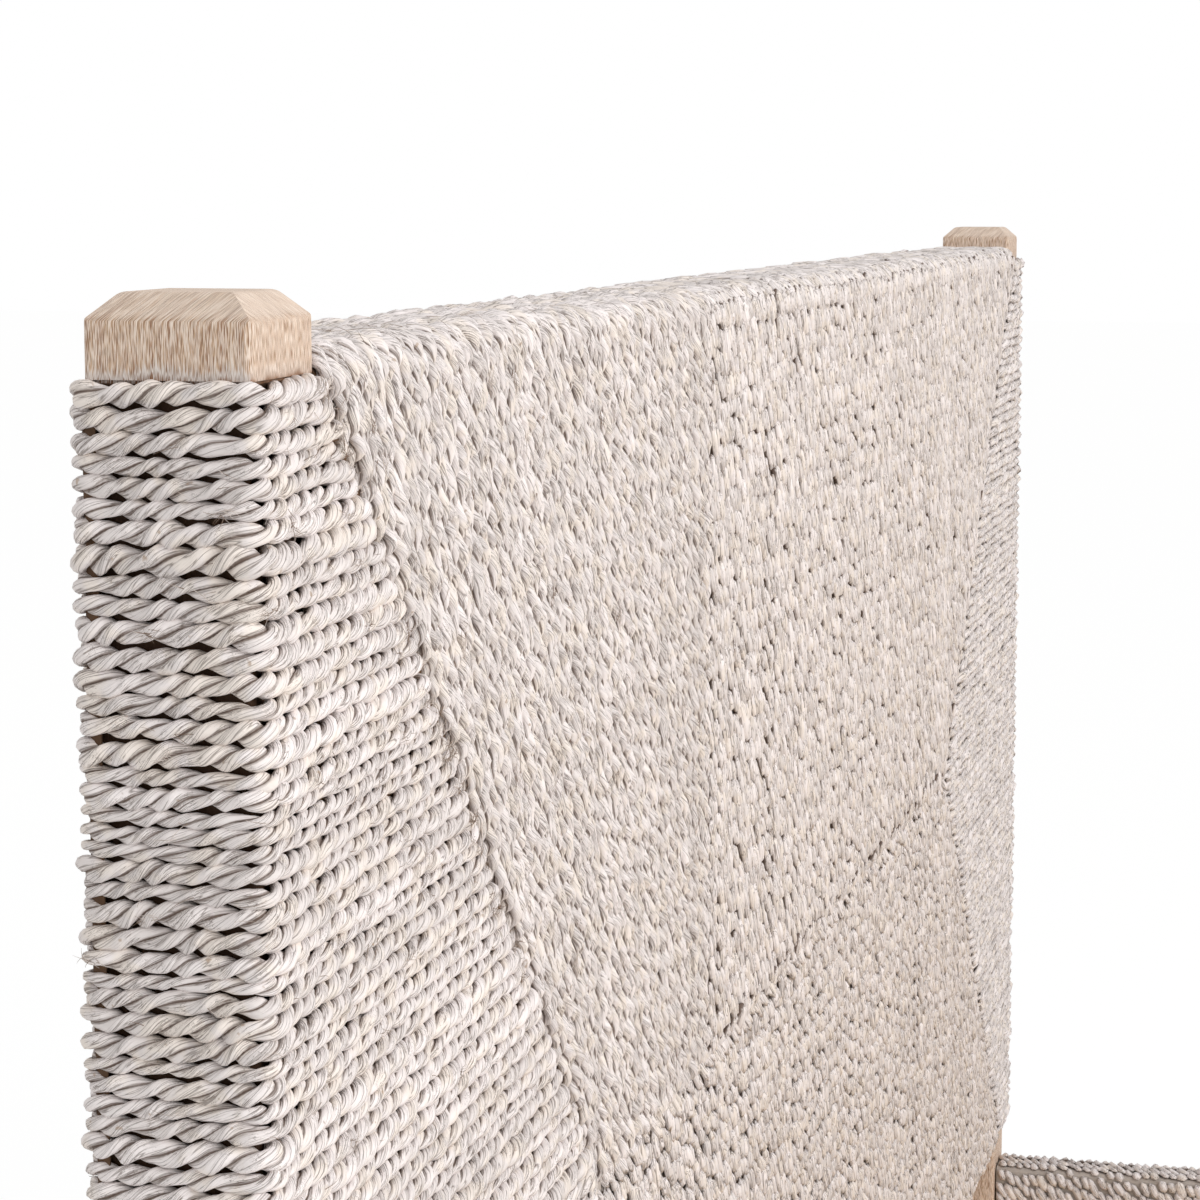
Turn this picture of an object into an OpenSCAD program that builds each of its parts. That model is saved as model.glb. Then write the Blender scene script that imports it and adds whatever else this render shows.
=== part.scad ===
// King-size rope bed: a timber frame whose headboard panel is wound with twisted
// cord in four mitred fields, and whose rails are wrapped in the same cord.
// X runs across the bed, +Y points to the headboard and Z is up.
// The origin is at floor level, under the middle of the whole bed. Millimetres.

/* [Overall] */
// Width over the posts
bed_w = 2080; // [1500:1:2200]
// Height of the headboard posts
head_h = 1270; // [1000:1:1500]
// Height of the foot posts
foot_h = 385; // [365:1:480]
// Length of the mattress
mattress_l = 2030; // [1850:1:2130]
// Free length left between the mattress and the two ends, together
mattress_play = 30; // [10:1:60]

/* [Posts] */
// Side of a square post
post_w = 63.5; // [58:0.5:75]
// Width of the chamfers round a post top
cap_chamfer_w = 10.5; // [4:0.5:14]
// Height of the chamfers round a post top
cap_chamfer_h = 10; // [4:0.5:14]
// Radius that blends those chamfers into the sides and the top
cap_blend = 5; // [1:0.5:6]
// Bare height of a head post above its first turn of cord
cap_bare = 31; // [24:0.5:45]
// Radius of the eased long edges of the posts
post_edge = 3; // [1:0.5:4]
// Depth by which a post is cut back under its cord
wrap_relief = 2; // [1:0.5:3]

/* [Cord] */
// Thickness of one layer of cord
cord_t = 7; // [5:0.5:9]
// Depth of the grooves between neighbouring turns
cord_groove = 3; // [1:0.5:4]
// Spacing of the turns that wrap the posts and the bed rails
row_pitch = 8.4; // [8:0.1:14]
// Spacing of the turns that hang over the headboard rails
column_pitch = 7.8; // [7.6:0.1:14]
// Clearance between the cord and the timber in it
cord_gap = 0.3; // [0.1:0.1:0.5]
// Clearance on each side of a mitre between two fields of cord
mitre_gap = 0.3; // [0.1:0.1:1]

/* [Headboard frame] */
// Height of the lowest turns of cord on the headboard
weave_bottom = 368; // [352:1:500]
// Drop from the post tops to the cord that rolls over the top rail
roll_drop = 20; // [8:0.5:23]
// Height of the top and bottom rails
head_rail_h = 70; // [50:1:90]
// Radius of the long edges of the top and bottom rails
head_rail_edge = 6; // [3:0.5:10]
// Number of stiles inside the panel
stile_count = 3; // [1:1:4]
// Width of a stile
stile_w = 45; // [30:1:70]
// Thickness of a stile
stile_t = 50; // [35:1:55]
// Height of the plain stretcher between the head legs
stretcher_h = 140; // [110:1:150]
// Thickness of the stretcher
stretcher_t = 30; // [20:1:35]
// Height of the underside of the stretcher
stretcher_z = 165; // [150:1:170]

/* [Bed rails] */
// Thickness of the side and foot rail planks
rail_t = 30; // [24:1:36]
// Height of the side and foot rail planks
rail_h = 180; // [170:1:184]
// Height of the underside of the planks
rail_z = 157; // [120:1:160]

/* [Mattress support] */
// Number of slats
slat_count = 13; // [8:1:15]
// Width of a slat
slat_w = 90; // [60:1:110]
// Thickness of a slat
slat_t = 19; // [15:1:25]
// Depth of the slat tops below the tops of the planks
slat_drop = 70; // [50:1:75]
// Gap between a slat end and the wrapped rail beside it
slat_play = 5; // [2:0.5:8]
// Width of the cleats that carry the slats
cleat_w = 30; // [25:1:40]
// Height of the cleats
cleat_h = 40; // [30:1:45]
// Width of the centre beam
beam_w = 45; // [40:1:60]
// Height of the centre beam
beam_h = 70; // [62:1:75]
// Side of a centre leg
leg_w = 45; // [30:1:55]
// Number of centre legs
leg_count = 3; // [1:1:4]

/* [Joinery] */
// Thickness of the headboard tenons
tenon_t = 20; // [12:1:24]
// Length of the top and bottom rail tenons
tenon_l = 35; // [20:1:45]
// Length of the stretcher tenons
stretcher_tenon_l = 20; // [12:1:22]
// Length of the stile tenons
stile_tenon_l = 25; // [15:1:35]
// Width of the shoulder round a tenon
tenon_shoulder = 10; // [6:1:15]
// Diameter of the dowel on top of a centre leg
leg_dowel_d = 12; // [8:1:16]
// Length of that dowel
leg_dowel_l = 20; // [12:1:30]
// Clearance all round tenons, dowels, bolts and screws
fit = 0.2; // [0.1:0.05:0.3]

/* [Hardware] */
// Diameter of the bed bolts
bolt_d = 8; // [6:1:10]
// Reach of a bed bolt into the rail
bolt_reach = 50; // [42:1:60]
// Diameter of a bolt head
bolt_head_d = 13; // [12:0.5:16]
// Height of a bolt head
bolt_head_h = 6; // [5:0.5:8]
// Width across the flats of the hexagon socket in a bolt head
bolt_socket_w = 6; // [4:0.5:6]
// Diameter of a bolt washer
washer_d = 20; // [18:1:22]
// Thickness of a bolt washer
washer_t = 1.6; // [1:0.1:2.5]
// Depth of the counterbore for a bolt head
counterbore_h = 9; // [8:0.5:11]
// Diameter of a barrel nut
nut_d = 14; // [12:1:16]
// Distance of a barrel nut from the end of its rail
nut_inset = 35; // [28:1:40]
// Distance between the two bolts of a side rail
side_bolt_spread = 100; // [90:1:120]
// Distance between the two bolts at an end of the foot rail
foot_bolt_spread = 50; // [40:1:60]
// Diameter of the wood screws
screw_d = 4.5; // [3.5:0.5:5]
// Diameter of a screw head
screw_head_d = 9; // [7:0.5:10]
// Depth that a screw bites into the timber behind its piece
screw_bite = 16; // [10:1:18]
// Number of screws in each cleat
cleat_screw_count = 8; // [4:1:12]
// Thickness of the steel of the beam hangers
hanger_t = 2.5; // [1.5:0.5:3]
// Length of beam that a hanger holds
hanger_l = 50; // [35:1:70]
// Height of a hanger
hanger_h = 60; // [50:1:61]
// Width of each flange of a hanger
hanger_flange = 25; // [20:1:35]
// Diameter of the floor glides
glide_d = 25; // [18:1:28]
// Thickness of a glide
glide_h = 5; // [3:0.5:8]
// Diameter of a glide's nail
nail_d = 2.5; // [2:0.5:3]
// Length of a glide's nail
nail_l = 14; // [10:1:18]

/* [Hidden] */
function numbered(name, count) = [for (i = [1:count]) str(name, "_", i)];

// A number of sides that keeps every round edge a true arc
round_fn = 48;
// Overshoot of the tools that cut right through a piece
cut = 1;

// Cord layers measured from the middle of the timber in them
half_core = post_w / 2 - wrap_relief;
half_weave = half_core + cord_gap + cord_t;
wrap_half_t = rail_t / 2 + cord_gap + cord_t;
post_mid = post_w / 2;

// Places along the bed
head_to_foot = mattress_l + mattress_play + half_weave + wrap_half_t;
bed_l = head_to_foot + post_mid + half_weave;
y_head = bed_l / 2 - half_weave;
y_foot = -bed_l / 2 + post_mid;

// Places across the bed
x_post = bed_w / 2 - post_mid;
x_panel = bed_w / 2 - post_w;
x_core = bed_w / 2 - wrap_relief;

// Heights of the headboard
roll_top = head_h - roll_drop;
weave_mid = (roll_top + weave_bottom) / 2;
row_top = head_h - cap_bare;
row_bottom = 2 * weave_mid - row_top;
top_rail_top = roll_top - cord_t - cord_gap;
bottom_rail_z = 2 * weave_mid - top_rail_top;

// Turns of cord: whole numbers of them share the length that they cover
rows = round((row_top - row_bottom) / row_pitch);
columns = round(2 * (x_panel - cord_gap) / column_pitch);
mitre_rise = row_top - weave_mid;
mitre_run = mitre_rise * column_pitch / row_pitch;

// Heights of the mattress support
rail_mid_z = rail_z + rail_h / 2;
slat_z = rail_z + rail_h - slat_drop - slat_t;
beam_z = slat_z - beam_h;
cleat_z = slat_z - cleat_h;
x_wrap = x_post - wrap_half_t;
x_cleat = x_wrap - cord_gap - cleat_w;
slat_l = 2 * (x_wrap - slat_play);

// Places along the mattress support
stretcher_y = y_head - stretcher_t / 2;
foot_wrap_y = y_foot + wrap_half_t;
slat_end_gap = 15;
slat_first_y = foot_wrap_y + slat_end_gap + slat_w / 2;
slat_last_y = stretcher_y - slat_end_gap - slat_w / 2;
slat_step = (slat_last_y - slat_first_y) / (slat_count - 1);
beam_end_gap = 1;
beam_y = foot_wrap_y + cord_gap + beam_end_gap;
beam_l = stretcher_y - beam_end_gap - beam_y;
cleat_end_gap = 5;
cleat_y = y_foot + post_mid + cleat_end_gap;
cleat_l = y_head - post_mid - cleat_end_gap - cleat_y;
rail_y = y_foot + post_mid;
rail_l = y_head - post_mid - rail_y;

rope_colour = [0.80, 0.76, 0.70];
limed_colour = [0.77, 0.67, 0.54];
slat_colour = [0.86, 0.76, 0.60];
steel_colour = [0.62, 0.62, 0.62];
glide_colour = [0.88, 0.87, 0.83];

// ---- shapes that several pieces share ----

// Rectangle with round corners, centred
module eased_rect(w, d, r) {
    square([w - 2 * r, d], center = true);
    square([w, d - 2 * r], center = true);
    for (x = [-1, 1], y = [-1, 1])
        translate([x * (w / 2 - r), y * (d / 2 - r)]) circle(r = r, $fn = round_fn);
}

// Straight timber with eased edges, centred in X and Y
module baton(w, d, h, r) {
    linear_extrude(height = h) eased_rect(w, d, r);
}

// Box from its lowest corner, grown by a clearance on every side
module box(corner, size, grow = 0) {
    translate(corner - grow * [1, 1, 1]) cube(size + 2 * grow * [1, 1, 1]);
}

// Countersunk screw: its head top is at the origin, its point at -length
module screw(length) {
    sink = (screw_head_d - screw_d) / 2;
    translate([0, 0, -sink]) cylinder(h = sink, d1 = screw_d, d2 = screw_head_d, $fn = round_fn);
    translate([0, 0, -length]) cylinder(h = length - sink, d = screw_d, $fn = round_fn);
}

// The hole for it, with a clearance all round
module screw_hole(length) {
    sink = (screw_head_d - screw_d) / 2;
    translate([0, 0, -sink]) cylinder(h = sink + fit, d1 = screw_d + 2 * fit,
        d2 = screw_head_d + 4 * fit, $fn = round_fn);
    translate([0, 0, -length - fit])
        cylinder(h = length - sink + 2 * fit, d = screw_d + 2 * fit, $fn = round_fn);
}

// ---- the cord ----

// Ridged edge of a layer of cord: one ridge for each turn
function ridges(turns, pitch, outside) = [
    for (i = [0:turns - 1]) each [[i * pitch, outside - cord_groove], [(i + 0.5) * pitch, outside]]
];

function ridged_edge(turns, pitch, outside) = concat(
    ridges(turns, pitch, outside), [[turns * pitch, outside - cord_groove]]);

// Section of a layer of cord that lies on timber, across its turns
function layer(turns, pitch, inside) = concat(
    [[0, inside]], ridged_edge(turns, pitch, inside + cord_t), [[turns * pitch, inside]]);

function swapped(points) = [for (p = points) [p[1], p[0]]];

// Cord over the edge of a rail or post: down the front, over the top and down the
// back. Turns follow one another along X, and the timber is under the origin.
module cord_saddle(turns, pitch, half_t, edge_r, depth) {
    r = edge_r;
    half_flat = half_t - r;
    for (side = [0, 1]) mirror([0, side, 0]) {
        translate([0, 0, -depth]) linear_extrude(height = depth - r)
            polygon(layer(turns, pitch, half_t));
        translate([0, half_flat, -r]) rotate([90, 0, 90])
            rotate_extrude(angle = 90, $fn = round_fn) polygon(swapped(layer(turns, pitch, r)));
    }
    translate([0, -half_flat, 0]) rotate([-90, 0, 0]) mirror([0, 1, 0])
        linear_extrude(height = 2 * half_flat) polygon(layer(turns, pitch, 0));
}

// Outline of a bar of cord seen from one side: ridges along both edges
function bar_outline(turns, pitch, half) =
    let (edge = ridged_edge(turns, pitch, half))
    concat(edge, [for (i = [len(edge) - 1:-1:0]) [edge[i][0], -edge[i][1]]]);

// Cord wound round a plank that runs along X, centred on it
module cord_sleeve(length, plank_t, plank_h) {
    turns = round(length / row_pitch);
    pitch = length / turns;
    half_t = plank_t / 2 + cord_gap + cord_t;
    half_h = plank_h / 2 + cord_gap + cord_t;
    difference() {
        intersection() {
            linear_extrude(height = 3 * half_h, center = true)
                polygon(bar_outline(turns, pitch, half_t));
            rotate([90, 0, 0]) linear_extrude(height = 3 * half_t, center = true)
                polygon(bar_outline(turns, pitch, half_h));
        }
        box([-cut, -plank_t / 2, -plank_h / 2], [length + 2 * cut, plank_t, plank_h], cord_gap);
    }
}

// ---- headboard cord fields ----

// A front-view outline made as deep as the headboard
module through_headboard(points) {
    translate([0, y_head + 2 * half_weave, 0]) rotate([90, 0, 0])
        linear_extrude(height = 4 * half_weave) polygon(points);
}

// Field of cord over the top rail, down to its two mitres and the middle seam
module rail_field() {
    half_run = x_panel - cord_gap;
    low = weave_mid + mitre_gap;
    color(rope_colour) intersection() {
        translate([-half_run, y_head, roll_top - cord_t])
            cord_saddle(columns, 2 * half_run / columns, half_core + cord_gap,
                head_rail_edge + cord_gap, roll_top - weave_mid);
        through_headboard([
            [-x_panel, roll_top + cut], [x_panel, roll_top + cut],
            [x_panel, row_top + mitre_gap], [x_panel - mitre_run, low],
            [mitre_run - x_panel, low], [-x_panel, row_top + mitre_gap]]);
    }
}

// Field of cord round the left post, out to the point where its mitres meet
module post_field() {
    tip = mitre_run - x_panel - mitre_gap;
    color(rope_colour) intersection() {
        translate([-x_core - cord_gap, y_head, row_bottom]) rotate([0, -90, 0])
            cord_saddle(rows, (row_top - row_bottom) / rows, half_core + cord_gap,
                post_edge + cord_gap, post_w + mitre_run);
        through_headboard([
            [-bed_w, row_bottom], [-x_panel - mitre_gap, row_bottom], [tip, weave_mid],
            [-x_panel - mitre_gap, row_top], [-bed_w, row_top]]);
    }
}

module headboard_weave_left() post_field();
module headboard_weave_right() mirror([1, 0, 0]) post_field();
module headboard_weave_top() rail_field();
module headboard_weave_bottom() translate([0, 0, 2 * weave_mid]) mirror([0, 0, 1]) rail_field();

// ---- posts ----

// Side view of a post top, used from two sides for its four chamfers. One arc blends
// each chamfer into the side below it, and another blends it into the top.
module cap_outline(height) {
    slope = atan2(cap_chamfer_w, cap_chamfer_h);
    climb = [-sin(slope), cos(slope)];
    low = [post_mid, height - cap_chamfer_h];
    high = [post_mid - cap_chamfer_w, height];
    low_cut = cap_blend * tan(slope / 2);
    high_cut = cap_blend * tan(45 - slope / 2);
    half = [[post_mid, 0], low - [0, low_cut], low + low_cut * climb,
        high - high_cut * climb, high - [high_cut, 0]];
    polygon(concat(half, [for (i = [len(half) - 1:-1:0]) [-half[i][0], half[i][1]]]));
    for (side = [0, 1]) mirror([side, 0]) {
        translate(low - [cap_blend, low_cut]) circle(r = cap_blend, $fn = round_fn);
        translate(high - [high_cut, cap_blend]) circle(r = cap_blend, $fn = round_fn);
    }
}

// Length of post with a chamfered top, standing at z
module capped_length(z, height) {
    translate([0, 0, z]) intersection() {
        baton(post_w, post_w, height, post_edge);
        crossed() cap_outline(height);
    }
}

// What an outline extruded along Y shares with the same outline extruded along X
module crossed() {
    intersection() {
        translate([0, post_w, 0]) rotate([90, 0, 0]) linear_extrude(height = 2 * post_w) children();
        translate([-post_w, 0, 0]) rotate([90, 0, 90]) linear_extrude(height = 2 * post_w) children();
    }
}

// Hole for the nail of a glide, up from the foot of a post or leg
module nail_hole() {
    translate([0, 0, glide_h - cut])
        cylinder(h = nail_l + cut + fit, d = nail_d + 2 * fit, $fn = round_fn);
}

// Bore and counterbore of a bolt that enters along -Y at y and leaves at the far face
module bolt_bore(y) {
    translate([0, y, 0]) rotate([90, 0, 0]) translate([0, 0, -cut]) {
        cylinder(h = post_w + 2 * cut, d = bolt_d + 2 * fit, $fn = round_fn);
        cylinder(h = counterbore_h + cut, d = washer_d + 4 * fit, $fn = round_fn);
    }
}

function pair(spread) = [rail_mid_z - spread / 2, rail_mid_z + spread / 2];

// Head post on the left, with its inner face towards +X
module head_post() {
    core_x = wrap_relief / 2;
    low = row_bottom - cord_gap;
    high = row_top + cord_gap;
    tenon_z = [[top_rail_top - head_rail_h, head_rail_h, tenon_l],
        [bottom_rail_z, head_rail_h, tenon_l], [stretcher_z, stretcher_h, stretcher_tenon_l]];
    color(limed_colour) translate([-x_post, y_head, 0]) difference() {
        union() {
            translate([0, 0, glide_h]) baton(post_w, post_w, low - glide_h, post_edge);
            translate([core_x, 0, low])
                baton(post_w - wrap_relief, 2 * half_core, high - low, post_edge);
            capped_length(high, head_h - high);
        }
        for (t = tenon_z)
            box([post_mid - t[2], -tenon_t / 2, t[0] + tenon_shoulder],
                [t[2] + cut, tenon_t, t[1] - 2 * tenon_shoulder], fit);
        for (z = pair(side_bolt_spread)) translate([0, 0, z]) bolt_bore(post_mid);
        nail_hole();
    }
}

// Foot post on the left
module foot_post() {
    color(limed_colour) translate([-x_post, y_foot, 0]) difference() {
        capped_length(glide_h, foot_h - glide_h);
        for (z = pair(side_bolt_spread)) translate([0, 0, z]) mirror([0, 1, 0]) bolt_bore(post_mid);
        for (z = pair(foot_bolt_spread))
            translate([0, 0, z]) rotate([0, 0, 90]) bolt_bore(post_mid);
        nail_hole();
    }
}

module headboard_post_left() head_post();
module headboard_post_right() mirror([1, 0, 0]) head_post();
module foot_post_left() foot_post();
module foot_post_right() mirror([1, 0, 0]) foot_post();

// ---- headboard frame ----

stile_step = 2 * x_panel / (stile_count + 1);
function stile_x(i) = (i - (stile_count + 1) / 2) * stile_step;

// Rail between the head posts, with a tenon at each end, standing at z
module tenoned_rail(z, height, thick, edge_r, tongue) {
    translate([-x_panel, y_head, z + height / 2]) rotate([0, 90, 0])
        baton(height, thick, 2 * x_panel, edge_r);
    box([-x_panel - tongue, y_head - tenon_t / 2, z + tenon_shoulder],
        [2 * (x_panel + tongue), tenon_t, height - 2 * tenon_shoulder]);
}

// Mortises in a rail whose inner face is at z, going up by dir * stile_tenon_l
module stile_mortises(z, dir) {
    for (i = [1:stile_count])
        box([stile_x(i) - stile_w / 2 + tenon_shoulder, y_head - tenon_t / 2,
                min(z - dir * cut, z + dir * stile_tenon_l)],
            [stile_w - 2 * tenon_shoulder, tenon_t, stile_tenon_l + cut], fit);
}

module headboard_top_rail() {
    z = top_rail_top - head_rail_h;
    color(limed_colour) difference() {
        tenoned_rail(z, head_rail_h, 2 * half_core, head_rail_edge, tenon_l);
        stile_mortises(z, 1);
    }
}

module headboard_bottom_rail() {
    color(limed_colour) difference() {
        tenoned_rail(bottom_rail_z, head_rail_h, 2 * half_core, head_rail_edge, tenon_l);
        stile_mortises(bottom_rail_z + head_rail_h, -1);
    }
}

module headboard_stretcher() {
    color(limed_colour) difference() {
        tenoned_rail(stretcher_z, stretcher_h, stretcher_t, post_edge, stretcher_tenon_l);
        head_hanger_place() hanger_screw_holes();
    }
}

module headboard_stile(i) {
    low = bottom_rail_z + head_rail_h;
    high = top_rail_top - head_rail_h;
    color(limed_colour) {
        box([stile_x(i) - stile_w / 2, y_head - stile_t / 2, low], [stile_w, stile_t, high - low]);
        box([stile_x(i) - stile_w / 2 + tenon_shoulder, y_head - tenon_t / 2, low - stile_tenon_l],
            [stile_w - 2 * tenon_shoulder, tenon_t, high - low + 2 * stile_tenon_l]);
    }
}

// ---- bed rails ----

// Bores for a bolt and its barrel nut in the end of a plank that starts at the
// origin, runs along X and is centred on it
module rail_end_bores(spread) {
    for (z = [-spread / 2, spread / 2]) translate([0, 0, z]) {
        translate([-cut, 0, 0]) rotate([0, 90, 0])
            cylinder(h = bolt_reach + 2 * cut, d = bolt_d + 2 * fit, $fn = round_fn);
        translate([nut_inset, 0, 0]) rotate([90, 0, 0])
            cylinder(h = rail_t + 2 * cut, d = nut_d + 2 * fit, center = true, $fn = round_fn);
    }
}

// Plank with bores at both ends, in the same place
module plank(length, spread) {
    difference() {
        rotate([0, 90, 0]) baton(rail_h, rail_t, length, post_edge);
        rail_end_bores(spread);
        translate([length, 0, 0]) mirror([1, 0, 0]) rail_end_bores(spread);
    }
}

// Puts a plank drawn along X at the left side, running along +Y
module left_side() {
    translate([-x_post, rail_y, rail_mid_z]) rotate([0, 0, 90]) children();
}

module at_foot() {
    translate([-x_panel, y_foot, rail_mid_z]) children();
}

module side_rail_left() {
    color(limed_colour) difference() {
        left_side() plank(rail_l, side_bolt_spread);
        cleat_screw_places() screw_hole(cleat_screw_l);
    }
}
module side_rail_right() mirror([1, 0, 0]) side_rail_left();

module side_rail_wrap_left() {
    color(rope_colour) difference() {
        left_side() translate([cord_gap, 0, 0]) cord_sleeve(rail_l - 2 * cord_gap, rail_t, rail_h);
        cleat_screw_places() screw_hole(cleat_screw_l);
    }
}
module side_rail_wrap_right() mirror([1, 0, 0]) side_rail_wrap_left();

module foot_rail() {
    color(limed_colour) difference() {
        at_foot() plank(2 * x_panel, foot_bolt_spread);
        foot_hanger_place() hanger_screw_holes();
    }
}

module foot_rail_wrap() {
    color(rope_colour) difference() {
        at_foot() translate([cord_gap, 0, 0])
            cord_sleeve(2 * (x_panel - cord_gap), rail_t, rail_h);
        foot_hanger_place() hanger_screw_holes();
    }
}

// ---- mattress support ----

cleat_screw_l = cleat_w + 2 * cord_gap + cord_t + screw_bite;
slat_screw_l = slat_t + screw_bite;

// Screws through the left cleat, with their heads on its inner face
module cleat_screw_places() {
    step = cleat_l / cleat_screw_count;
    for (i = [0:cleat_screw_count - 1])
        translate([-x_cleat, cleat_y + (i + 0.5) * step, cleat_z + cleat_h / 3])
            rotate([0, 90, 0]) children();
}

// Screw down through the left end of slat i into the cleat
module slat_screw_place(i) {
    translate([-x_cleat - cleat_w / 2, slat_y(i), slat_z + slat_t]) children();
}

module slat_cleat_left() {
    color(slat_colour) difference() {
        box([-x_cleat - cleat_w, cleat_y, cleat_z], [cleat_w, cleat_l, cleat_h]);
        cleat_screw_places() screw_hole(cleat_screw_l);
        for (i = [1:slat_count]) slat_screw_place(i) screw_hole(slat_screw_l);
    }
}
module slat_cleat_right() mirror([1, 0, 0]) slat_cleat_left();

function slat_y(i) = slat_first_y + (i - 1) * slat_step;
slat_edge = 4;

module slat(i) {
    color(slat_colour) difference() {
        translate([-slat_l / 2, slat_y(i), slat_z + slat_t / 2]) rotate([0, 90, 0])
            baton(slat_t, slat_w, slat_l, slat_edge);
        both_sides() slat_screw_place(i) screw_hole(slat_screw_l);
    }
}

function leg_y(i) = beam_y + i * beam_l / (leg_count + 1);

module centre_beam() {
    color(slat_colour) difference() {
        box([-beam_w / 2, beam_y, beam_z], [beam_w, beam_l, beam_h]);
        for (i = [1:leg_count]) translate([0, leg_y(i), beam_z - cut])
            cylinder(h = leg_dowel_l + cut + fit, d = leg_dowel_d + 2 * fit, $fn = round_fn);
    }
}

module centre_leg(i) {
    color(slat_colour) translate([0, leg_y(i), 0]) difference() {
        union() {
            translate([0, 0, glide_h]) baton(leg_w, leg_w, beam_z - glide_h, post_edge);
            translate([0, 0, beam_z - cut])
                cylinder(h = leg_dowel_l + cut, d = leg_dowel_d, $fn = round_fn);
        }
        nail_hole();
    }
}

// ---- beam hangers ----

hanger_half = beam_w / 2 + fit + hanger_t;

// Steel saddle on an upright face at the origin that looks along +Y. The beam's
// underside is at z = 0.
module hanger() {
    color(steel_colour) {
        difference() {
            translate([-hanger_half, 0, -hanger_t]) cube([2 * hanger_half, hanger_l, hanger_h]);
            translate([-beam_w / 2 - fit, -cut, 0])
                cube([beam_w + 2 * fit, hanger_l + 2 * cut, hanger_h]);
        }
        for (side = [0, 1]) mirror([side, 0, 0]) difference() {
            translate([hanger_half, 0, -hanger_t]) cube([hanger_flange, hanger_t, hanger_h]);
            hanger_screw_holes();
        }
    }
}

function hanger_screw_z() = [hanger_h / 4, 3 * hanger_h / 4];

module hanger_screw_places() {
    for (side = [-1, 1], z = hanger_screw_z())
        translate([side * (hanger_half + hanger_flange / 2), hanger_t, z - hanger_t])
            rotate([-90, 0, 0]) children();
}

hanger_screw_l = hanger_t + cord_t + 2 * cord_gap + screw_bite;

module hanger_screw_holes() hanger_screw_places() screw_hole(hanger_screw_l);

module head_hanger_place() {
    translate([0, stretcher_y, beam_z]) mirror([0, 1, 0]) children();
}

module foot_hanger_place() {
    translate([0, foot_wrap_y + cord_gap, beam_z]) children();
}

module beam_hanger_head() head_hanger_place() hanger();
module beam_hanger_foot() foot_hanger_place() hanger();

// ---- fasteners and glides ----

module both_sides() {
    for (side = [0, 1]) mirror([side, 0, 0]) children();
}

module slat_screws() {
    color(steel_colour) both_sides()
        for (i = [1:slat_count]) slat_screw_place(i) screw(slat_screw_l);
}

module cleat_screws() color(steel_colour) both_sides() cleat_screw_places() screw(cleat_screw_l);

module hanger_screws() {
    color(steel_colour) {
        head_hanger_place() hanger_screw_places() screw(hanger_screw_l);
        foot_hanger_place() hanger_screw_places() screw(hanger_screw_l);
    }
}

// Every bolt of the left side: the floor of its counterbore is at the origin and
// its rail lies towards -Z
module bolt_places() {
    for (z = pair(side_bolt_spread)) {
        translate([-x_post, y_head + post_mid - counterbore_h, z]) rotate([-90, 0, 0]) children();
        translate([-x_post, y_foot - post_mid + counterbore_h, z]) rotate([90, 0, 0]) children();
    }
    for (z = pair(foot_bolt_spread))
        translate([counterbore_h - bed_w / 2, y_foot, z]) rotate([0, -90, 0]) rotate([0, 0, 90])
            children();
}

bolt_l = post_w - counterbore_h + bolt_reach;

module bolt() {
    translate([0, 0, -bolt_l]) cylinder(h = bolt_l + washer_t, d = bolt_d, $fn = round_fn);
    translate([0, 0, washer_t]) difference() {
        cylinder(h = bolt_head_h, d = bolt_head_d, $fn = round_fn);
        translate([0, 0, bolt_head_h / 2])
            cylinder(h = bolt_head_h, d = bolt_socket_w / cos(30), $fn = 6);
    }
}

module bed_bolts() color(steel_colour) both_sides() bolt_places() bolt();

module bolt_washers() {
    color(steel_colour) both_sides() bolt_places() difference() {
        cylinder(h = washer_t, d = washer_d, $fn = round_fn);
        translate([0, 0, -cut])
            cylinder(h = washer_t + 2 * cut, d = bolt_d + 2 * fit, $fn = round_fn);
    }
}

// Depth of the ends of a barrel nut below the faces of its plank
nut_recess = 1;

// A barrel nut lies across its bolt
module barrel_nuts() {
    nut_z = counterbore_h - post_w - nut_inset;
    color(steel_colour) both_sides() bolt_places() translate([0, 0, nut_z]) difference() {
        rotate([0, 90, 0])
            cylinder(h = rail_t - 2 * nut_recess, d = nut_d, center = true, $fn = round_fn);
        cylinder(h = 2 * nut_d, d = bolt_d + 2 * fit, center = true, $fn = round_fn);
    }
}

module glide() {
    color(glide_colour) {
        cylinder(h = glide_h, d = glide_d, $fn = round_fn);
        cylinder(h = glide_h + nail_l, d = nail_d, $fn = round_fn);
    }
}

module post_glides() {
    for (x = [-x_post, x_post], y = [y_head, y_foot]) translate([x, y, 0]) glide();
}

module centre_leg_glides() {
    for (i = [1:leg_count]) translate([0, leg_y(i), 0]) glide();
}

headboard_post_left();
headboard_post_right();
headboard_top_rail();
headboard_bottom_rail();
headboard_stretcher();
for (i = [1:stile_count])
    headboard_stile(i);
headboard_weave_left();
headboard_weave_right();
headboard_weave_top();
headboard_weave_bottom();
foot_post_left();
foot_post_right();
foot_rail();
foot_rail_wrap();
side_rail_left();
side_rail_right();
side_rail_wrap_left();
side_rail_wrap_right();
slat_cleat_left();
slat_cleat_right();
centre_beam();
beam_hanger_head();
beam_hanger_foot();
for (i = [1:leg_count])
    centre_leg(i);
for (i = [1:slat_count])
    slat(i);
slat_screws();
cleat_screws();
hanger_screws();
bed_bolts();
bolt_washers();
barrel_nuts();
post_glides();
centre_leg_glides();
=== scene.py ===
# %% [markdown]
# # A rope bed, dressed round its frame
# The frame holds every timber, bolt and slat at its real size. This lesson gives those pieces
# their finishes, and winds real two-ply cord where the frame only has plain ridged shells.
# Everything is in metres, in the frame's own axes: the headboard stands at the +Y end.

# %% Load the frame
import math

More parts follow.
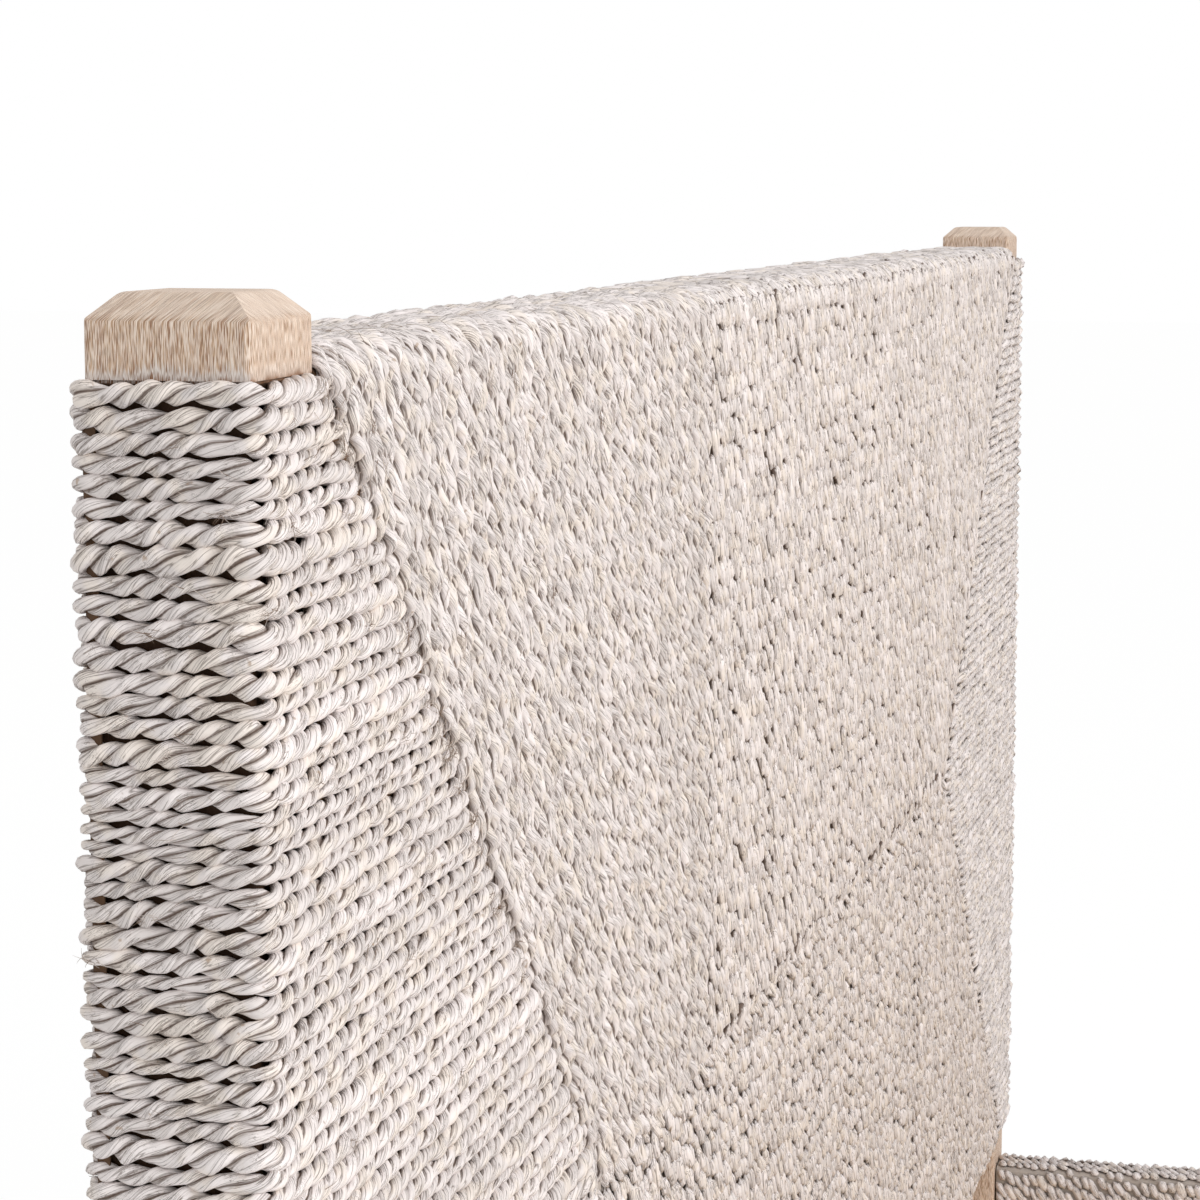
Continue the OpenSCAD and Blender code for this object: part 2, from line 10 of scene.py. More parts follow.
import bmesh
import bpy
import numpy as np
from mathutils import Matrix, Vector


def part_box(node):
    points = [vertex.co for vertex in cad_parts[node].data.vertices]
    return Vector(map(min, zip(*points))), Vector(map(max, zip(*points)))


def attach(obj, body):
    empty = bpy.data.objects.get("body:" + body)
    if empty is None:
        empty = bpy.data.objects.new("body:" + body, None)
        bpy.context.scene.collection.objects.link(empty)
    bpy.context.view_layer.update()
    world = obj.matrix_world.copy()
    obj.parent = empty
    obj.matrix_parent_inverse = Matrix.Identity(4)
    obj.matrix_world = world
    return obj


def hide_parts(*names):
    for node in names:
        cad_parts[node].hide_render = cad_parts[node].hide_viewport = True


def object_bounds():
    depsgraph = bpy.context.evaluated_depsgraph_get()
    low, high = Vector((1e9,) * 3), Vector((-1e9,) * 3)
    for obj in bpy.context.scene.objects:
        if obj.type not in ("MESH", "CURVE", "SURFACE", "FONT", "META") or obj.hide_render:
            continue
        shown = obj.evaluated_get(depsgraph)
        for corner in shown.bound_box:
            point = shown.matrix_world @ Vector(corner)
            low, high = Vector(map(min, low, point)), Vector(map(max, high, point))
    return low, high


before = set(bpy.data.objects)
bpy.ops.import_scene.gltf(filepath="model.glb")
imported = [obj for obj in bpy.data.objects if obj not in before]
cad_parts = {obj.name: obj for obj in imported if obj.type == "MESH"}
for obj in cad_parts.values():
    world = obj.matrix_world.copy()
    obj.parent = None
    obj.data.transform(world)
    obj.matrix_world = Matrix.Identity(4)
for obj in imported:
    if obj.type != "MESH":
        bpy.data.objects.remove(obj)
cad_low, cad_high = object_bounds()
MM = 0.001
print("frame", [round(v, 3) for v in (*cad_low, *cad_high)])

# %% [markdown]
# ## The camera
# The picture was taken with a short telephoto lens, close to the near head post and almost in
# line with the headboard, so the panel runs away from us and shrinks. A camera can be nudged
# until the view looks right. This one was solved from the corners of a post of 63.5 mm, because
# a wrong lens shows at once in how fast the far end shrinks.


# %% Camera
def in_scene(name, data):
    """A new object in the scene."""
    thing = bpy.data.objects.new(name, data)
    bpy.context.scene.collection.objects.link(thing)
    return thing


def aim(thing, place, direction):
    """Sets a camera or a lamp down and turns it."""
    thing.location = place
    thing.rotation_mode = "QUATERNION"
    thing.rotation_quaternion = Vector(direction).to_track_quat("-Z", "Y")


camera_data = bpy.data.cameras.new("camera")
camera_data.lens = 95.4
camera_data.sensor_width = 36.0
camera_data.clip_start = 0.05
camera_data.clip_end = 60.0
camera = in_scene("camera", camera_data)
aim(camera, (-2.077, 0.629, 1.3055), (0.9594, 0.2512, -0.1279))
bpy.context.scene.camera = camera
bpy.context.scene.view_settings.view_transform = "Standard"
print("camera at", tuple(round(v, 3) for v in camera.location))

# %% [markdown]
# ## Small helpers
# A material or a modifier is a tree of nodes. One function adds any node, sets it and links it,
# so each line names the node that the editor would show. Every pattern on the bed is noise, and
# its grains are given their real size here. Colours are written as on a screen, in hex, and one
# function turns them to linear light.


# %% Helpers for nodes and colours
def add(tree, kind, inputs=None, **settings):
    """Adds a node. A socket is set, or linked to a socket or to a node's first output."""
    node = tree.nodes.new(kind)
    for name, value in settings.items():
        setattr(node, name, value)
    for key, value in (inputs or {}).items():
        for item in value if isinstance(value, list) else [value]:
            if isinstance(item, bpy.types.Node):
                item = next(out for out in item.outputs if out.enabled)
            if isinstance(item, bpy.types.NodeSocket):
                tree.links.new(item, node.inputs[key])
            else:
                node.inputs[key].default_value = item
    return node


def linear(code):
    """A screen colour such as d8cec8 as linear red, green, blue and alpha."""
    parts = [int(code[i : i + 2], 16) / 255 for i in (0, 2, 4)]
    return (*[p / 12.92 if p <= 0.04045 else ((p + 0.055) / 1.055) ** 2.4 for p in parts], 1.0)


def grains(tree, place, size, detail=2.0, roughness=0.5, shift=(0.0, 0.0, 0.0)):
    """Noise whose grains are as long along each axis as size says."""
    scale = tuple(1 / length for length in size)
    spot = add(tree, "ShaderNodeMapping", {"Vector": place, "Location": shift, "Scale": scale})
    look = {"Vector": spot, "Scale": 1.0, "Detail": detail, "Roughness": roughness}
    return add(tree, "ShaderNodeTexNoise", look)


def blank_material(name):
    mat = bpy.data.materials.new(name)
    mat.use_nodes = True
    mat.node_tree.nodes.clear()
    return mat, mat.node_tree


def surface(tree, colour, roughness, relief, strength, depth, **more):
    """Ends a material: a principled shader whose bumps come from relief."""
    bump = add(tree, "ShaderNodeBump", {"Height": relief, "Strength": strength, "Distance": depth})
    look = {"Base Color": colour, "Roughness": roughness, "Normal": bump, **more}
    add(tree, "ShaderNodeOutputMaterial", {0: add(tree, "ShaderNodeBsdfPrincipled", look)})


# The kinds that come up most. A STEP's sockets are the value, its two ends and what they become.
MATH, STEP, MIX = "ShaderNodeMath", "ShaderNodeMapRange", "ShaderNodeMix"
SMOOTH = {"interpolation_type": "SMOOTHSTEP"}
COLOUR = {"data_type": "RGBA"}
print("white is", linear("ffffff"))

# %% [markdown]
# ## Bleached seagrass cord
# The cord is twisted from strips of sedge leaf that were bleached and white-washed. A strip is
# dull and fibrous, cool white with cream patches, and some stretches are frayed and crossed by
# small cracks. Painted shade draws fine dark lines along its folded edges, and a warm grey in
# the creases where the plies meet, which `crown` sets. A pattern laid over the whole bed would
# cut across the strands. This one follows them, so it reads three attributes of the cord:
# `fibre` (across, across, along), `crown` (how far out from the cord's axis a point lies) and
# `strand` (a random number for each strand).


# %% Cord material
def cord_finish(name, pale, shade, cream, crease_shade):
    mat, tree = blank_material(name)
    fibre, crown, strand = [
        add(tree, "ShaderNodeAttribute", attribute_name=label).outputs[socket]
        for label, socket in (("fibre", "Vector"), ("crown", "Fac"), ("strand", "Fac"))
    ]
    place = add(tree, "ShaderNodeTexCoord").outputs["Object"]
    shift = add(tree, MATH, {0: strand, 1: 61.0}, operation="MULTIPLY")
    shift = add(tree, "ShaderNodeCombineXYZ", {"X": shift, "Z": shift})
    fibres = grains(tree, fibre, (0.6 * MM, 0.6 * MM, 9 * MM), 3.0, 0.6, shift)
    folds = grains(tree, fibre, (2.2 * MM, 2.2 * MM, 22 * MM), 1.0, 0.5, shift)
    crinkle = grains(tree, fibre, (1.1 * MM, 1.1 * MM, 2.8 * MM), 2.0, 0.6, shift)
    patches = grains(tree, place, [30 * MM] * 3, 3.0)
    warmth = grains(tree, place, [17 * MM] * 3, 2.0, 0.6, (5.0, 0.0, 0.0))
    flecks = grains(tree, place, [6 * MM] * 3, 2.0, 0.7)
    fraying = grains(tree, place, [12 * MM] * 3, 2.0, 0.6, (0.0, 7.0, 0.0))
    frayed = add(tree, STEP, {0: fraying, 1: 0.48, 2: 0.6}, **SMOOTH)
    greyness = add(tree, MATH, {0: patches, 1: strand}, operation="ADD")
    uneven = add(tree, MATH, {0: fibres, 1: 1.6 * MM, 2: crown}, operation="MULTIPLY_ADD")
    to_fold, to_crack = [
        add(tree, MATH, {0: wave, 1: 0.5}, operation="SUBTRACT")
        for wave in (folds, crinkle)
    ]
    to_fold = add(tree, MATH, {0: to_fold}, operation="ABSOLUTE")
    to_crack = add(tree, MATH, {0: to_crack}, operation="ABSOLUTE")
    grey, creamy, lines, more_lines, cracks, edges, brown, unshaded_share, groove, more_crinkle = [
        add(tree, STEP, dict(enumerate(step)), **SMOOTH)
        for step in (
            (greyness, 0.5, 1.5),
            (warmth, 0.48, 0.62, 0.0, 0.75),
            (fibres, 0.46, 0.36),
            (frayed, 0.0, 1.0, 0.25, 0.7),
            (to_crack, 0.0, 0.022, 0.7, 0.0),
            (to_fold, 0.0, 0.03, 0.65, 0.0),
            (flecks, 0.68, 0.76, 0.0, 0.6),
            (uneven, 2.7 * MM, 3.9 * MM),
            (to_fold, 0.0, 0.06),
            (frayed, 0.0, 1.0, 0.3, 1.0),
        )
    ]
    lines = add(tree, MATH, {0: lines, 1: more_lines}, operation="MULTIPLY")
    cracks = add(tree, MATH, {0: cracks, 1: frayed}, operation="MULTIPLY")
    leaf = linear(pale)
    # The dark lines along the folds are painted shade in the fold creases.
    coats = (grey, shade), (creamy, cream), (lines, "7d6d62"), (cracks, "5e4f45"), (edges, "5e4f45")
    for share, tint in (*coats, (brown, "a98c70")):
        leaf = add(tree, MIX, {0: share, "A": leaf, "B": linear(tint)}, **COLOUR)
    # Painted shade: where crown is low, in the creases between the plies, the crease colour takes over.
    colour = add(tree, MIX, {0: unshaded_share, "A": linear(crease_shade), "B": leaf}, **COLOUR)
    relief = add(tree, MATH, {0: groove, 1: 0.7, 2: fibres}, operation="MULTIPLY_ADD")
    relief = add(tree, MATH, {0: relief, 1: folds}, operation="ADD")
    relief = add(tree, MATH, {0: crinkle, 1: more_crinkle, 2: relief}, operation="MULTIPLY_ADD")
    surface(tree, colour, 0.7, relief, 0.7, 0.6 * MM, **{"Specular IOR Level": 0.3})
    return mat


# The last colour is the painted shade in the creases.
CORD = cord_finish("bleached_seagrass_cord", "f9f1ef", "e7dfdc", "f4e9df", "75645a")
print("made", CORD.name)

# %% [markdown]
# ## Where the cord runs
# The frame's boxes say how far each field of cord reaches. The side fields are rows that lie
# round the head posts, and the top and bottom fields are columns that roll over the rails. The
# fields meet on mitre lines, as on a rush seat.

# %% Sizes of the winding
left_low, left_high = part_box("headboard_weave_left")
_, top_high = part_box("headboard_weave_top")
bottom_low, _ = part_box("headboard_weave_bottom")
HEAD_Y = (left_low.y + left_high.y) / 2
POST_EDGE_X = -left_low.x
PANEL_X = top_high.x
ROWS_TOP = left_high.z
ROWS_BOTTOM = left_low.z
MIDDLE_Z = (ROWS_TOP + ROWS_BOTTOM) / 2
MITRE_RUN = PANEL_X + left_high.x
MITRE_RISE = ROWS_TOP - MIDDLE_Z
ROW_COUNT = 102
COLUMN_COUNT = 250
ROW_PITCH = (ROWS_TOP - ROWS_BOTTOM) / ROW_COUNT
COLUMN_PITCH = 2 * PANEL_X / COLUMN_COUNT
CORD_SHELL = 7.0 * MM
LAY = 26.5 * MM
PLY_RADIUS = 2.75 * MM
PLY_OFFSET = 1.85 * MM
# The cord stands this far proud of the frame's shell.
LIFT = 0.6 * MM
HEAD_HALF = (left_high.y - left_low.y) / 2 - CORD_SHELL / 2 + LIFT
OUTER_X = POST_EDGE_X - CORD_SHELL / 2 + LIFT
ROW_BEND = 7.0 * MM
COLUMN_BEND = 10.0 * MM
print(ROW_COUNT, "rows", round(ROW_PITCH / MM, 2), "mm apart")
print(COLUMN_COUNT, "columns", round(COLUMN_PITCH / MM, 2), "mm apart")

# %% [markdown]
# ## One turn of cord
# A turn of cord is a flat line of straight legs with a quarter bend between them. It could be
# drawn as a curve with handles, but the twist and the leaves need to know the length along it
# and the way out at each point. So the heading is written first, and summed into a line.


# %% One turn of cord
def summed(values, step):
    """The running integral of evenly spaced values."""
    return np.concatenate([[0.0], np.cumsum((values[1:] + values[:-1]) * step / 2)])


def bent_line(legs, bend, step):
    """Straight legs with a quarter bend between each two: length, ahead, aside and heading."""
    quarter = bend * math.pi / 2
    starts = np.cumsum(legs[:-1]) + quarter * np.arange(len(legs) - 1)
    total = sum(legs) + quarter * (len(legs) - 1)
    s = np.linspace(0.0, total, max(8, round(total / step)))
    heading = sum(np.clip((s - b) / quarter, 0.0, 1.0) for b in starts) * math.pi / 2
    return s, summed(np.cos(heading), s[1]), summed(np.sin(heading), s[1]), heading


def over_edge(reach, half, bend, edge, outward, step):
    """A turn that comes along the front, rounds an edge and goes back along the rear."""
    legs = [reach - bend, 2 * (half - bend), reach - bend]
    s, ahead, aside, heading = bent_line(legs, bend, step)
    out, rear = np.array(outward), np.array((0.0, 1.0, 0.0))
    points = np.array(edge) + np.outer(ahead - reach, out) + np.outer(aside - half, rear)
    normals = np.outer(np.sin(heading), out) - np.outer(np.cos(heading), rear)
    return s, points, normals


def round_board(half_wide, half_high, bend, centre, wide, step):
    """A closed turn round a board that stands on its edge."""
    up_leg, side_leg = half_high - bend, 2 * (half_wide - bend)
    legs = [up_leg, side_leg, 2 * up_leg, side_leg, up_leg]
    s, ahead, aside, heading = bent_line(legs, bend, step)
    up, over = np.array((0.0, 0.0, 1.0)), np.array(wide)
    points = np.array(centre) + np.outer(ahead, up) + np.outer(aside - half_wide, over)
    normals = np.outer(np.sin(heading), up) - np.outer(np.cos(heading), over)
    return s, points, normals


def reach_of_row(z):
    """How far a row runs in from the post's outer edge to the mitre."""
    return POST_EDGE_X - PANEL_X + min(ROWS_TOP - z, z - ROWS_BOTTOM) * MITRE_RUN / MITRE_RISE


def reach_of_column(x, roll):
    """How far a column runs from its rolled edge to the middle seam or short of the mitre."""
    to_mitre = (PANEL_X - abs(x)) * MITRE_RISE / MITRE_RUN - CORD_SHELL / 2 - 2 * MM
    return roll + min(MITRE_RISE + 0.5 * MM, to_mitre)


print("longest row", round(reach_of_row(MIDDLE_Z), 3))
print("longest column", round(reach_of_column(0.0, top_high.z - ROWS_TOP), 3))

# %% [markdown]
# ## Hand-made cord is uneven
# Some turns are fat and some thin, they drift a little sideways, and the twist is never quite
# even. Each turn takes the room that its thickness needs, so a fat one pushes its neighbours
# away. All chance comes from one seeded generator, so the bed is the same each time.

# %% Unevenness
chance = np.random.default_rng(7)


def drift(s, length, amount):
    """An aimless smooth drift along s, from three waves with chance phases."""
    waves = [
        part * np.sin(s * math.tau / (length * part) + chance.uniform(0, math.tau))
        for part in (1.0, 0.57, 0.31)
    ]
    return sum(waves) * amount / 1.9


def shared_out(count, spread):
    """Centres, in pitches, and thicknesses of turns that lie side by side."""
    widths = np.clip(chance.normal(1.0, spread, count), 0.68, 1.5)
    widths *= count / widths.sum()
    return np.cumsum(widths) - widths / 2, widths


def eased(t):
    t = np.clip(t, 0.0, 1.0)
    return t * t * (3 - 2 * t)


def tucked(s, points, normals, aside, size):
    """Drifts a turn sideways, and tucks its two ends in under the turns they meet."""
    ends = eased(np.minimum(s, s[-1] - s) / (7 * MM))
    moved = points + np.outer(drift(s, 0.11, 0.85 * MM), aside)
    moved = moved + normals * (drift(s, 0.07, 0.25 * MM) - 3.2 * MM * (1 - ends))[:, None]
    lumps = 1 + drift(s, 0.027, 0.17) + drift(s, 0.11, 0.11)
    return moved, size * (0.72 + 0.28 * ends) * lumps


print("first chance number", round(float(np.random.default_rng(7).random()), 4))

# %% [markdown]
# ## Two plies, twisted for real
# Near the camera each ply is real geometry, since a bump can't draw the gaps between plies.
# The cord's centre line is a curve whose tilt turns once for each lay, and a geometry-nodes
# modifier sweeps two overlapping circles along it, which is how a rope walk lays up a cord. The
# same nodes store the attributes for the material, and push the surface in and out along the
# fibres, as the folds in a leaf strip do.


# %% The lay-up modifier
def modifier_tree(name):
    """An empty geometry-nodes modifier, and what comes into it."""
    tree = bpy.data.node_groups.new(name, "GeometryNodeTree")
    for way in ("INPUT", "OUTPUT"):
        tree.interface.new_socket("Geometry", in_out=way, socket_type="NodeSocketGeometry")
    return tree, add(tree, "NodeGroupInput").outputs[0]


def lay_up(sides, fold):
    """Two plies with this many sides, whose folds are up to half of fold deep."""
    tree, line = modifier_tree("lay_up_two_plies")
    index = add(tree, "GeometryNodeInputIndex")
    pick = add(tree, "FunctionNodeRandomValue", {"ID": index, "Seed": sides}, data_type="FLOAT")
    length = add(tree, "GeometryNodeSplineParameter").outputs["Length"]
    for name, value, domain in (("strand", pick, "CURVE"), ("along", length, "POINT")):
        line = add(
            tree,
            "GeometryNodeStoreNamedAttribute",
            {"Geometry": line, "Name": name, "Value": value},
            data_type="FLOAT",
            domain=domain,
        )
    circle = {"Resolution": sides, "Radius": PLY_RADIUS}
    circle = add(tree, "GeometryNodeCurvePrimitiveCircle", circle)
    plies = [
        add(tree, "GeometryNodeTransform", {"Geometry": circle, "Translation": (x, 0, 0)})
        for x in (-PLY_OFFSET, PLY_OFFSET)
    ]
    pair = add(tree, "GeometryNodeJoinGeometry", {"Geometry": plies})
    spot = add(tree, "GeometryNodeInputPosition")
    pair = add(
        tree,
        "GeometryNodeStoreNamedAttribute",
        {"Geometry": pair, "Name": "section", "Value": spot},
        data_type="FLOAT_VECTOR",
        domain="POINT",
    )
    girth = add(tree, "GeometryNodeInputRadius")
    sweep = {"Curve": line, "Profile Curve": pair, "Scale": girth, "Fill Caps": True}
    cord = add(tree, "GeometryNodeCurveToMesh", sweep)
    section, along, strand = [
        add(tree, "GeometryNodeInputNamedAttribute", {"Name": name}, data_type=kind)
        for name, kind in (("section", "FLOAT_VECTOR"), ("along", "FLOAT"), ("strand", "FLOAT"))
    ]
    out = add(tree, "ShaderNodeVectorMath", {0: section}, operation="LENGTH").outputs["Value"]
    x, y, _ = add(tree, "ShaderNodeSeparateXYZ", {0: section}).outputs
    fibre = add(tree, "ShaderNodeCombineXYZ", {"X": x, "Y": y, "Z": along})
    for name, value, kind in (("crown", out, "FLOAT"), ("fibre", fibre, "FLOAT_VECTOR")):
        cord = add(
            tree,
            "GeometryNodeStoreNamedAttribute",
            {"Geometry": cord, "Name": name, "Value": value},
            data_type=kind,
            domain="POINT",
        )
    shift = add(tree, MATH, {0: strand, 1: 83.0}, operation="MULTIPLY")
    scale = (1 / (1.9 * MM), 1 / (1.9 * MM), 1 / (14 * MM))
    spot = add(tree, "ShaderNodeVectorMath", {0: fibre, 1: scale}, operation="MULTIPLY")
    waves = {"Vector": spot, "W": shift, "Scale": 1.0, "Detail": 2.0}
    waves = add(tree, "ShaderNodeTexNoise", waves, noise_dimensions="4D")
    push = add(tree, MATH, {0: waves, 1: 0.5}, operation="SUBTRACT")
    push = add(tree, MATH, {0: push, 1: fold}, operation="MULTIPLY")
    normal = add(tree, "GeometryNodeInputNormal")
    push = add(tree, "ShaderNodeVectorMath", {0: normal, "Scale": push}, operation="SCALE")
    cord = add(tree, "GeometryNodeSetPosition", {"Geometry": cord, "Offset": push})
    cord = add(tree, "GeometryNodeSetShadeSmooth", {"Geometry": cord})
    add(tree, "NodeGroupOutput", {0: cord})
    return tree


NEAR_LAY_UP = lay_up(10, 1.6 * MM)
print("lay-up nodes", len(NEAR_LAY_UP.nodes))

# %% [markdown]
# ## From curves to finished pieces
# A modifier could stay live on its curve. Its result is kept as a plain mesh instead, which
# exports as it is, rides on the bed, and takes the place of the frame's ridged shell.


# %% Finished pieces and twisted cords
def finished(source, name, material, *nodes):
    """Keeps what the modifiers of source make as a plain mesh piece that rides on the bed."""
    graph = bpy.context.evaluated_depsgraph_get()
    mesh = bpy.data.meshes.new_from_object(
        source.evaluated_get(graph), preserve_all_data_layers=True, depsgraph=graph
    )
    mesh.name = name
    mesh.materials.clear()
    mesh.materials.append(material)
    piece = in_scene(name, mesh)
    bpy.data.objects.remove(source)
    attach(piece, "root")
    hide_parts(*nodes)
    mesh.calc_loop_triangles()
    print(name, len(mesh.loop_triangles), "triangles")


# The way that the plies turn along the cord.
TWIST_WAY = -1


def twisted_cords(name, turns, modifier, node):
    """Real two-ply cords, one along each turn."""
    data = bpy.data.curves.new(name + "_lines", "CURVE")
    data.dimensions = "3D"
    for s, points, _, size in turns:
        spline = data.splines.new("POLY")
        spline.points.add(len(s) - 1)
        line = np.c_[points, np.ones(len(s))]
        spline.points.foreach_set("co", line.astype(np.float32).ravel())
        spline.points.foreach_set("radius", size.astype(np.float32))
        twist = TWIST_WAY * s * math.tau / LAY + drift(s, 0.07, 1.2) + chance.uniform(0, math.tau)
        spline.points.foreach_set("tilt", twist.astype(np.float32))
    source = in_scene(name + "_lines", data)
    source.modifiers.new("lay_up", "NODES").node_group = modifier
    finished(source, name, CORD, node)


print("one lay is", round(LAY / MM, 1), "mm")

# %% [markdown]
# ## Leaves for the rest
# Twisted cord everywhere would be far too heavy. Seen from outside, a two-ply cord shows a
# string of slanting leaf shapes, half a lay apart. So further off each leaf is a closed grain
# with a few faces. The bed has tens of thousands of them, so each must be plain.


# %% One leaf
LEAF_HALF = 10.3 * MM
LEAF_DEEP_MM = 2.8


def mesh_object(shape, name):
    """Turns a bmesh into an object that isn't in the scene yet."""
    mesh = bpy.data.meshes.new(name)
    shape.to_mesh(mesh)
    shape.free()
    return bpy.data.objects.new(name, mesh)


def leaf_shape(name, around, down, width, bright):
    """A full grain, nearly one lay long, whose attributes say what the twisted cord's say."""
    shape = bmesh.new()
    bmesh.ops.create_uvsphere(shape, u_segments=around, v_segments=down, radius=1.0)
    lying = Vector((1, 0, 0)).to_track_quat("Z", "Y").to_matrix()
    bmesh.ops.rotate(shape, verts=shape.verts, matrix=lying, cent=(0, 0, 0))
    for vertex in shape.verts:
        x, y, z = vertex.co
        fuller = max(math.hypot(y, z), 0.01) ** -0.5
        vertex.co = (x * LEAF_HALF, y * fuller * width, z * fuller * LEAF_DEEP_MM * MM)
    leaf = mesh_object(shape, name)
    crown = leaf.data.attributes.new("crown", "FLOAT", "POINT")
    fibre = leaf.data.attributes.new("fibre", "FLOAT_VECTOR", "POINT")
    for vertex in leaf.data.vertices:
        x, y, z = vertex.co
        tip = 1 - (x / LEAF_HALF) ** 2
        # A leaf's crown is made up: it sets how much of the leaf takes the painted crease shade, and
        # bright lifts it clear.
        crown.data[vertex.index].value = bright + z * 0.7 + 0.6 * MM * tip
        fibre.data[vertex.index].vector = (y, z, x)
    leaf.data.calc_loop_triangles()
    return leaf


FAR_LEAF = leaf_shape("far_leaf", 4, 3, 3.7 * MM, 2.5 * MM)
NEAR_LEAF = leaf_shape("near_leaf", 6, 4, 3.4 * MM, 1.8 * MM)
print("triangles", [len(leaf.data.loop_triangles) for leaf in (FAR_LEAF, NEAR_LEAF)])

# %% [markdown]
# ## A modifier that sets the leaves
# Copying a leaf in a loop would take minutes. Instead the places are the points of a small
# mesh, and a modifier sets a leaf on each, turned along its cord and outwards.


# %% The leaf modifier
def set_leaves(leaf):
    tree, cloud = modifier_tree("set_" + leaf.name)
    lengthways, outward, stretch = [
        add(tree, "GeometryNodeInputNamedAttribute", {"Name": name}, data_type="FLOAT_VECTOR")
        for name in ("lengthways", "outward", "stretch")
    ]
    turn = "FunctionNodeAlignRotationToVector"
    turned = add(tree, turn, {"Vector": lengthways}, axis="X")
    turned = add(tree, turn, {"Rotation": turned, "Vector": outward}, axis="Z", pivot_axis="X")
    shape = add(tree, "GeometryNodeObjectInfo", {"Object": leaf}).outputs["Geometry"]
    points = add(tree, "GeometryNodeMeshToPoints", {"Mesh": cloud})
    each = {"Points": points, "Instance": shape, "Rotation": turned, "Scale": stretch}
    whole = add(tree, "GeometryNodeInstanceOnPoints", each)
    whole = add(tree, "GeometryNodeRealizeInstances", {"Geometry": whole})
    whole = add(tree, "GeometryNodeSetShadeSmooth", {"Geometry": whole})
    add(tree, "NodeGroupOutput", {0: whole})
    return tree


SET = {leaf.name: set_leaves(leaf) for leaf in (FAR_LEAF, NEAR_LEAF)}
print("leaf modifiers", len(SET))

# %% [markdown]
# ## Leaves along a turn
# Each leaf sits half a lay after the last, out at the ply's own distance from the axis, and
# slants as the ply does. Leaves on a bend are shorter, so a few more go between them there.
# What is left to chance is where each one starts, how it slants and how big it is.


# %% Leaves along turns of cord
def leaves_on(turn, between=None, slope=1.25):
    """Places, directions and sizes of the leaves along one turn."""
    s, points, normals, size = turn
    at = np.arange(chance.uniform(0.1, 0.6) * LAY / 2, s[-1], LAY / 2)
    at = at + chance.uniform(-0.08, 0.08, len(at)) * LAY
    if between is not None:
        at = np.append(at, between(s))
    ahead = np.gradient(points, s, axis=0)

    def sampled(rows, offset=0.0):
        return np.stack([np.interp(at + offset, s, rows[:, k]) for k in range(3)], axis=1)

    where, out, along = sampled(points), sampled(normals), sampled(ahead)
    bent = 1 - (sampled(normals, -LEAF_HALF) * sampled(normals, LEAF_HALF)).sum(axis=1)
    slant = math.atan(math.tau * PLY_OFFSET / LAY) * slope + chance.normal(0.0, 0.09, len(at))
    across = np.cross(out, along)
    lengthways = along * np.cos(slant)[:, None] + TWIST_WAY * across * -np.sin(slant)[:, None]
    girth = np.interp(at, s, size)[:, None]
    where = where + out * PLY_OFFSET * girth
    stretch = girth * np.clip(chance.normal(1.0, (0.10, 0.09, 0.08), (len(at), 3)), 0.7, 1.35)
    stretch[:, 0] *= 1 - 0.42 * np.clip(bent, 0.0, 1.0)
    return where, lengthways, out, stretch


MOST_TRIANGLES = 190000


def leafy_cords(name, turns, leaf, node, **how):
    """Leaf-made cords, in as many pieces as keep each one light."""
    sets = [leaves_on(turn, **how) for turn in turns]
    arrays = [np.concatenate([s[k] for s in sets]) for k in range(4)]
    count = len(arrays[0])
    pieces = math.ceil(count * len(leaf.data.loop_triangles) / MOST_TRIANGLES)
    for number, rows in enumerate(np.array_split(np.arange(count), pieces), 1):
        mesh = bpy.data.meshes.new(name + "_places")
        mesh.vertices.add(len(rows))
        mesh.vertices.foreach_set("co", arrays[0][rows].astype(np.float32).ravel())
        for label, values in zip(("lengthways", "outward", "stretch"), arrays[1:]):
            store = mesh.attributes.new(label, "FLOAT_VECTOR", "POINT")
            store.data.foreach_set("vector", values[rows].astype(np.float32).ravel())
        strand = mesh.attributes.new("strand", "FLOAT", "POINT")
        strand.data.foreach_set("value", chance.random(len(rows)).astype(np.float32))
        source = in_scene(name + "_places", mesh)
        source.modifiers.new("set_leaves", "NODES").node_group = SET[leaf.name]
        finished(source, f"{name}_{number}", CORD, node)


print("leaves a metre of cord", round(2 / LAY))

# %% [markdown]
# ## The side rows
# Each side field is a stack of rows that come from the mitre along the front, lie round the
# post and go back to the mitre on the rear. They could be one long winding, but then a row
# couldn't be fat or thin without moving all the rest. So each row is a turn of its own, and its
# two ends hide under the columns, where the real cord dips behind them.


# %% Turns of the side rows
FINE_STEP = 1.7 * MM
PLAIN_STEP = 3.0 * MM
NEAR_ROWS = 38
LOW_ROWS = 50


def row_turns(way, spread, plump):
    """Every row of one side field, from the top down."""
    places, widths = shared_out(ROW_COUNT, spread)
    turns = []
    for place, width in zip(places, widths):
        z = ROWS_TOP - place * ROW_PITCH
        reach = reach_of_row(z) - CORD_SHELL / 2 - 2 * MM
        step = FINE_STEP if way < 0 and len(turns) < LOW_ROWS else PLAIN_STEP
        edge = (way * OUTER_X, HEAD_Y, z)
        s, points, normals = over_edge(reach, HEAD_HALF, ROW_BEND, edge, (way, 0.0, 0.0), step)
        points, size = tucked(s, points, normals, (0.0, 0.0, 1.0), width * plump)
        size = size * (1 + 0.06 * eased((reach - ROW_BEND - s) / (15 * MM)))
        turns.append((s, points, normals, size))
    return turns


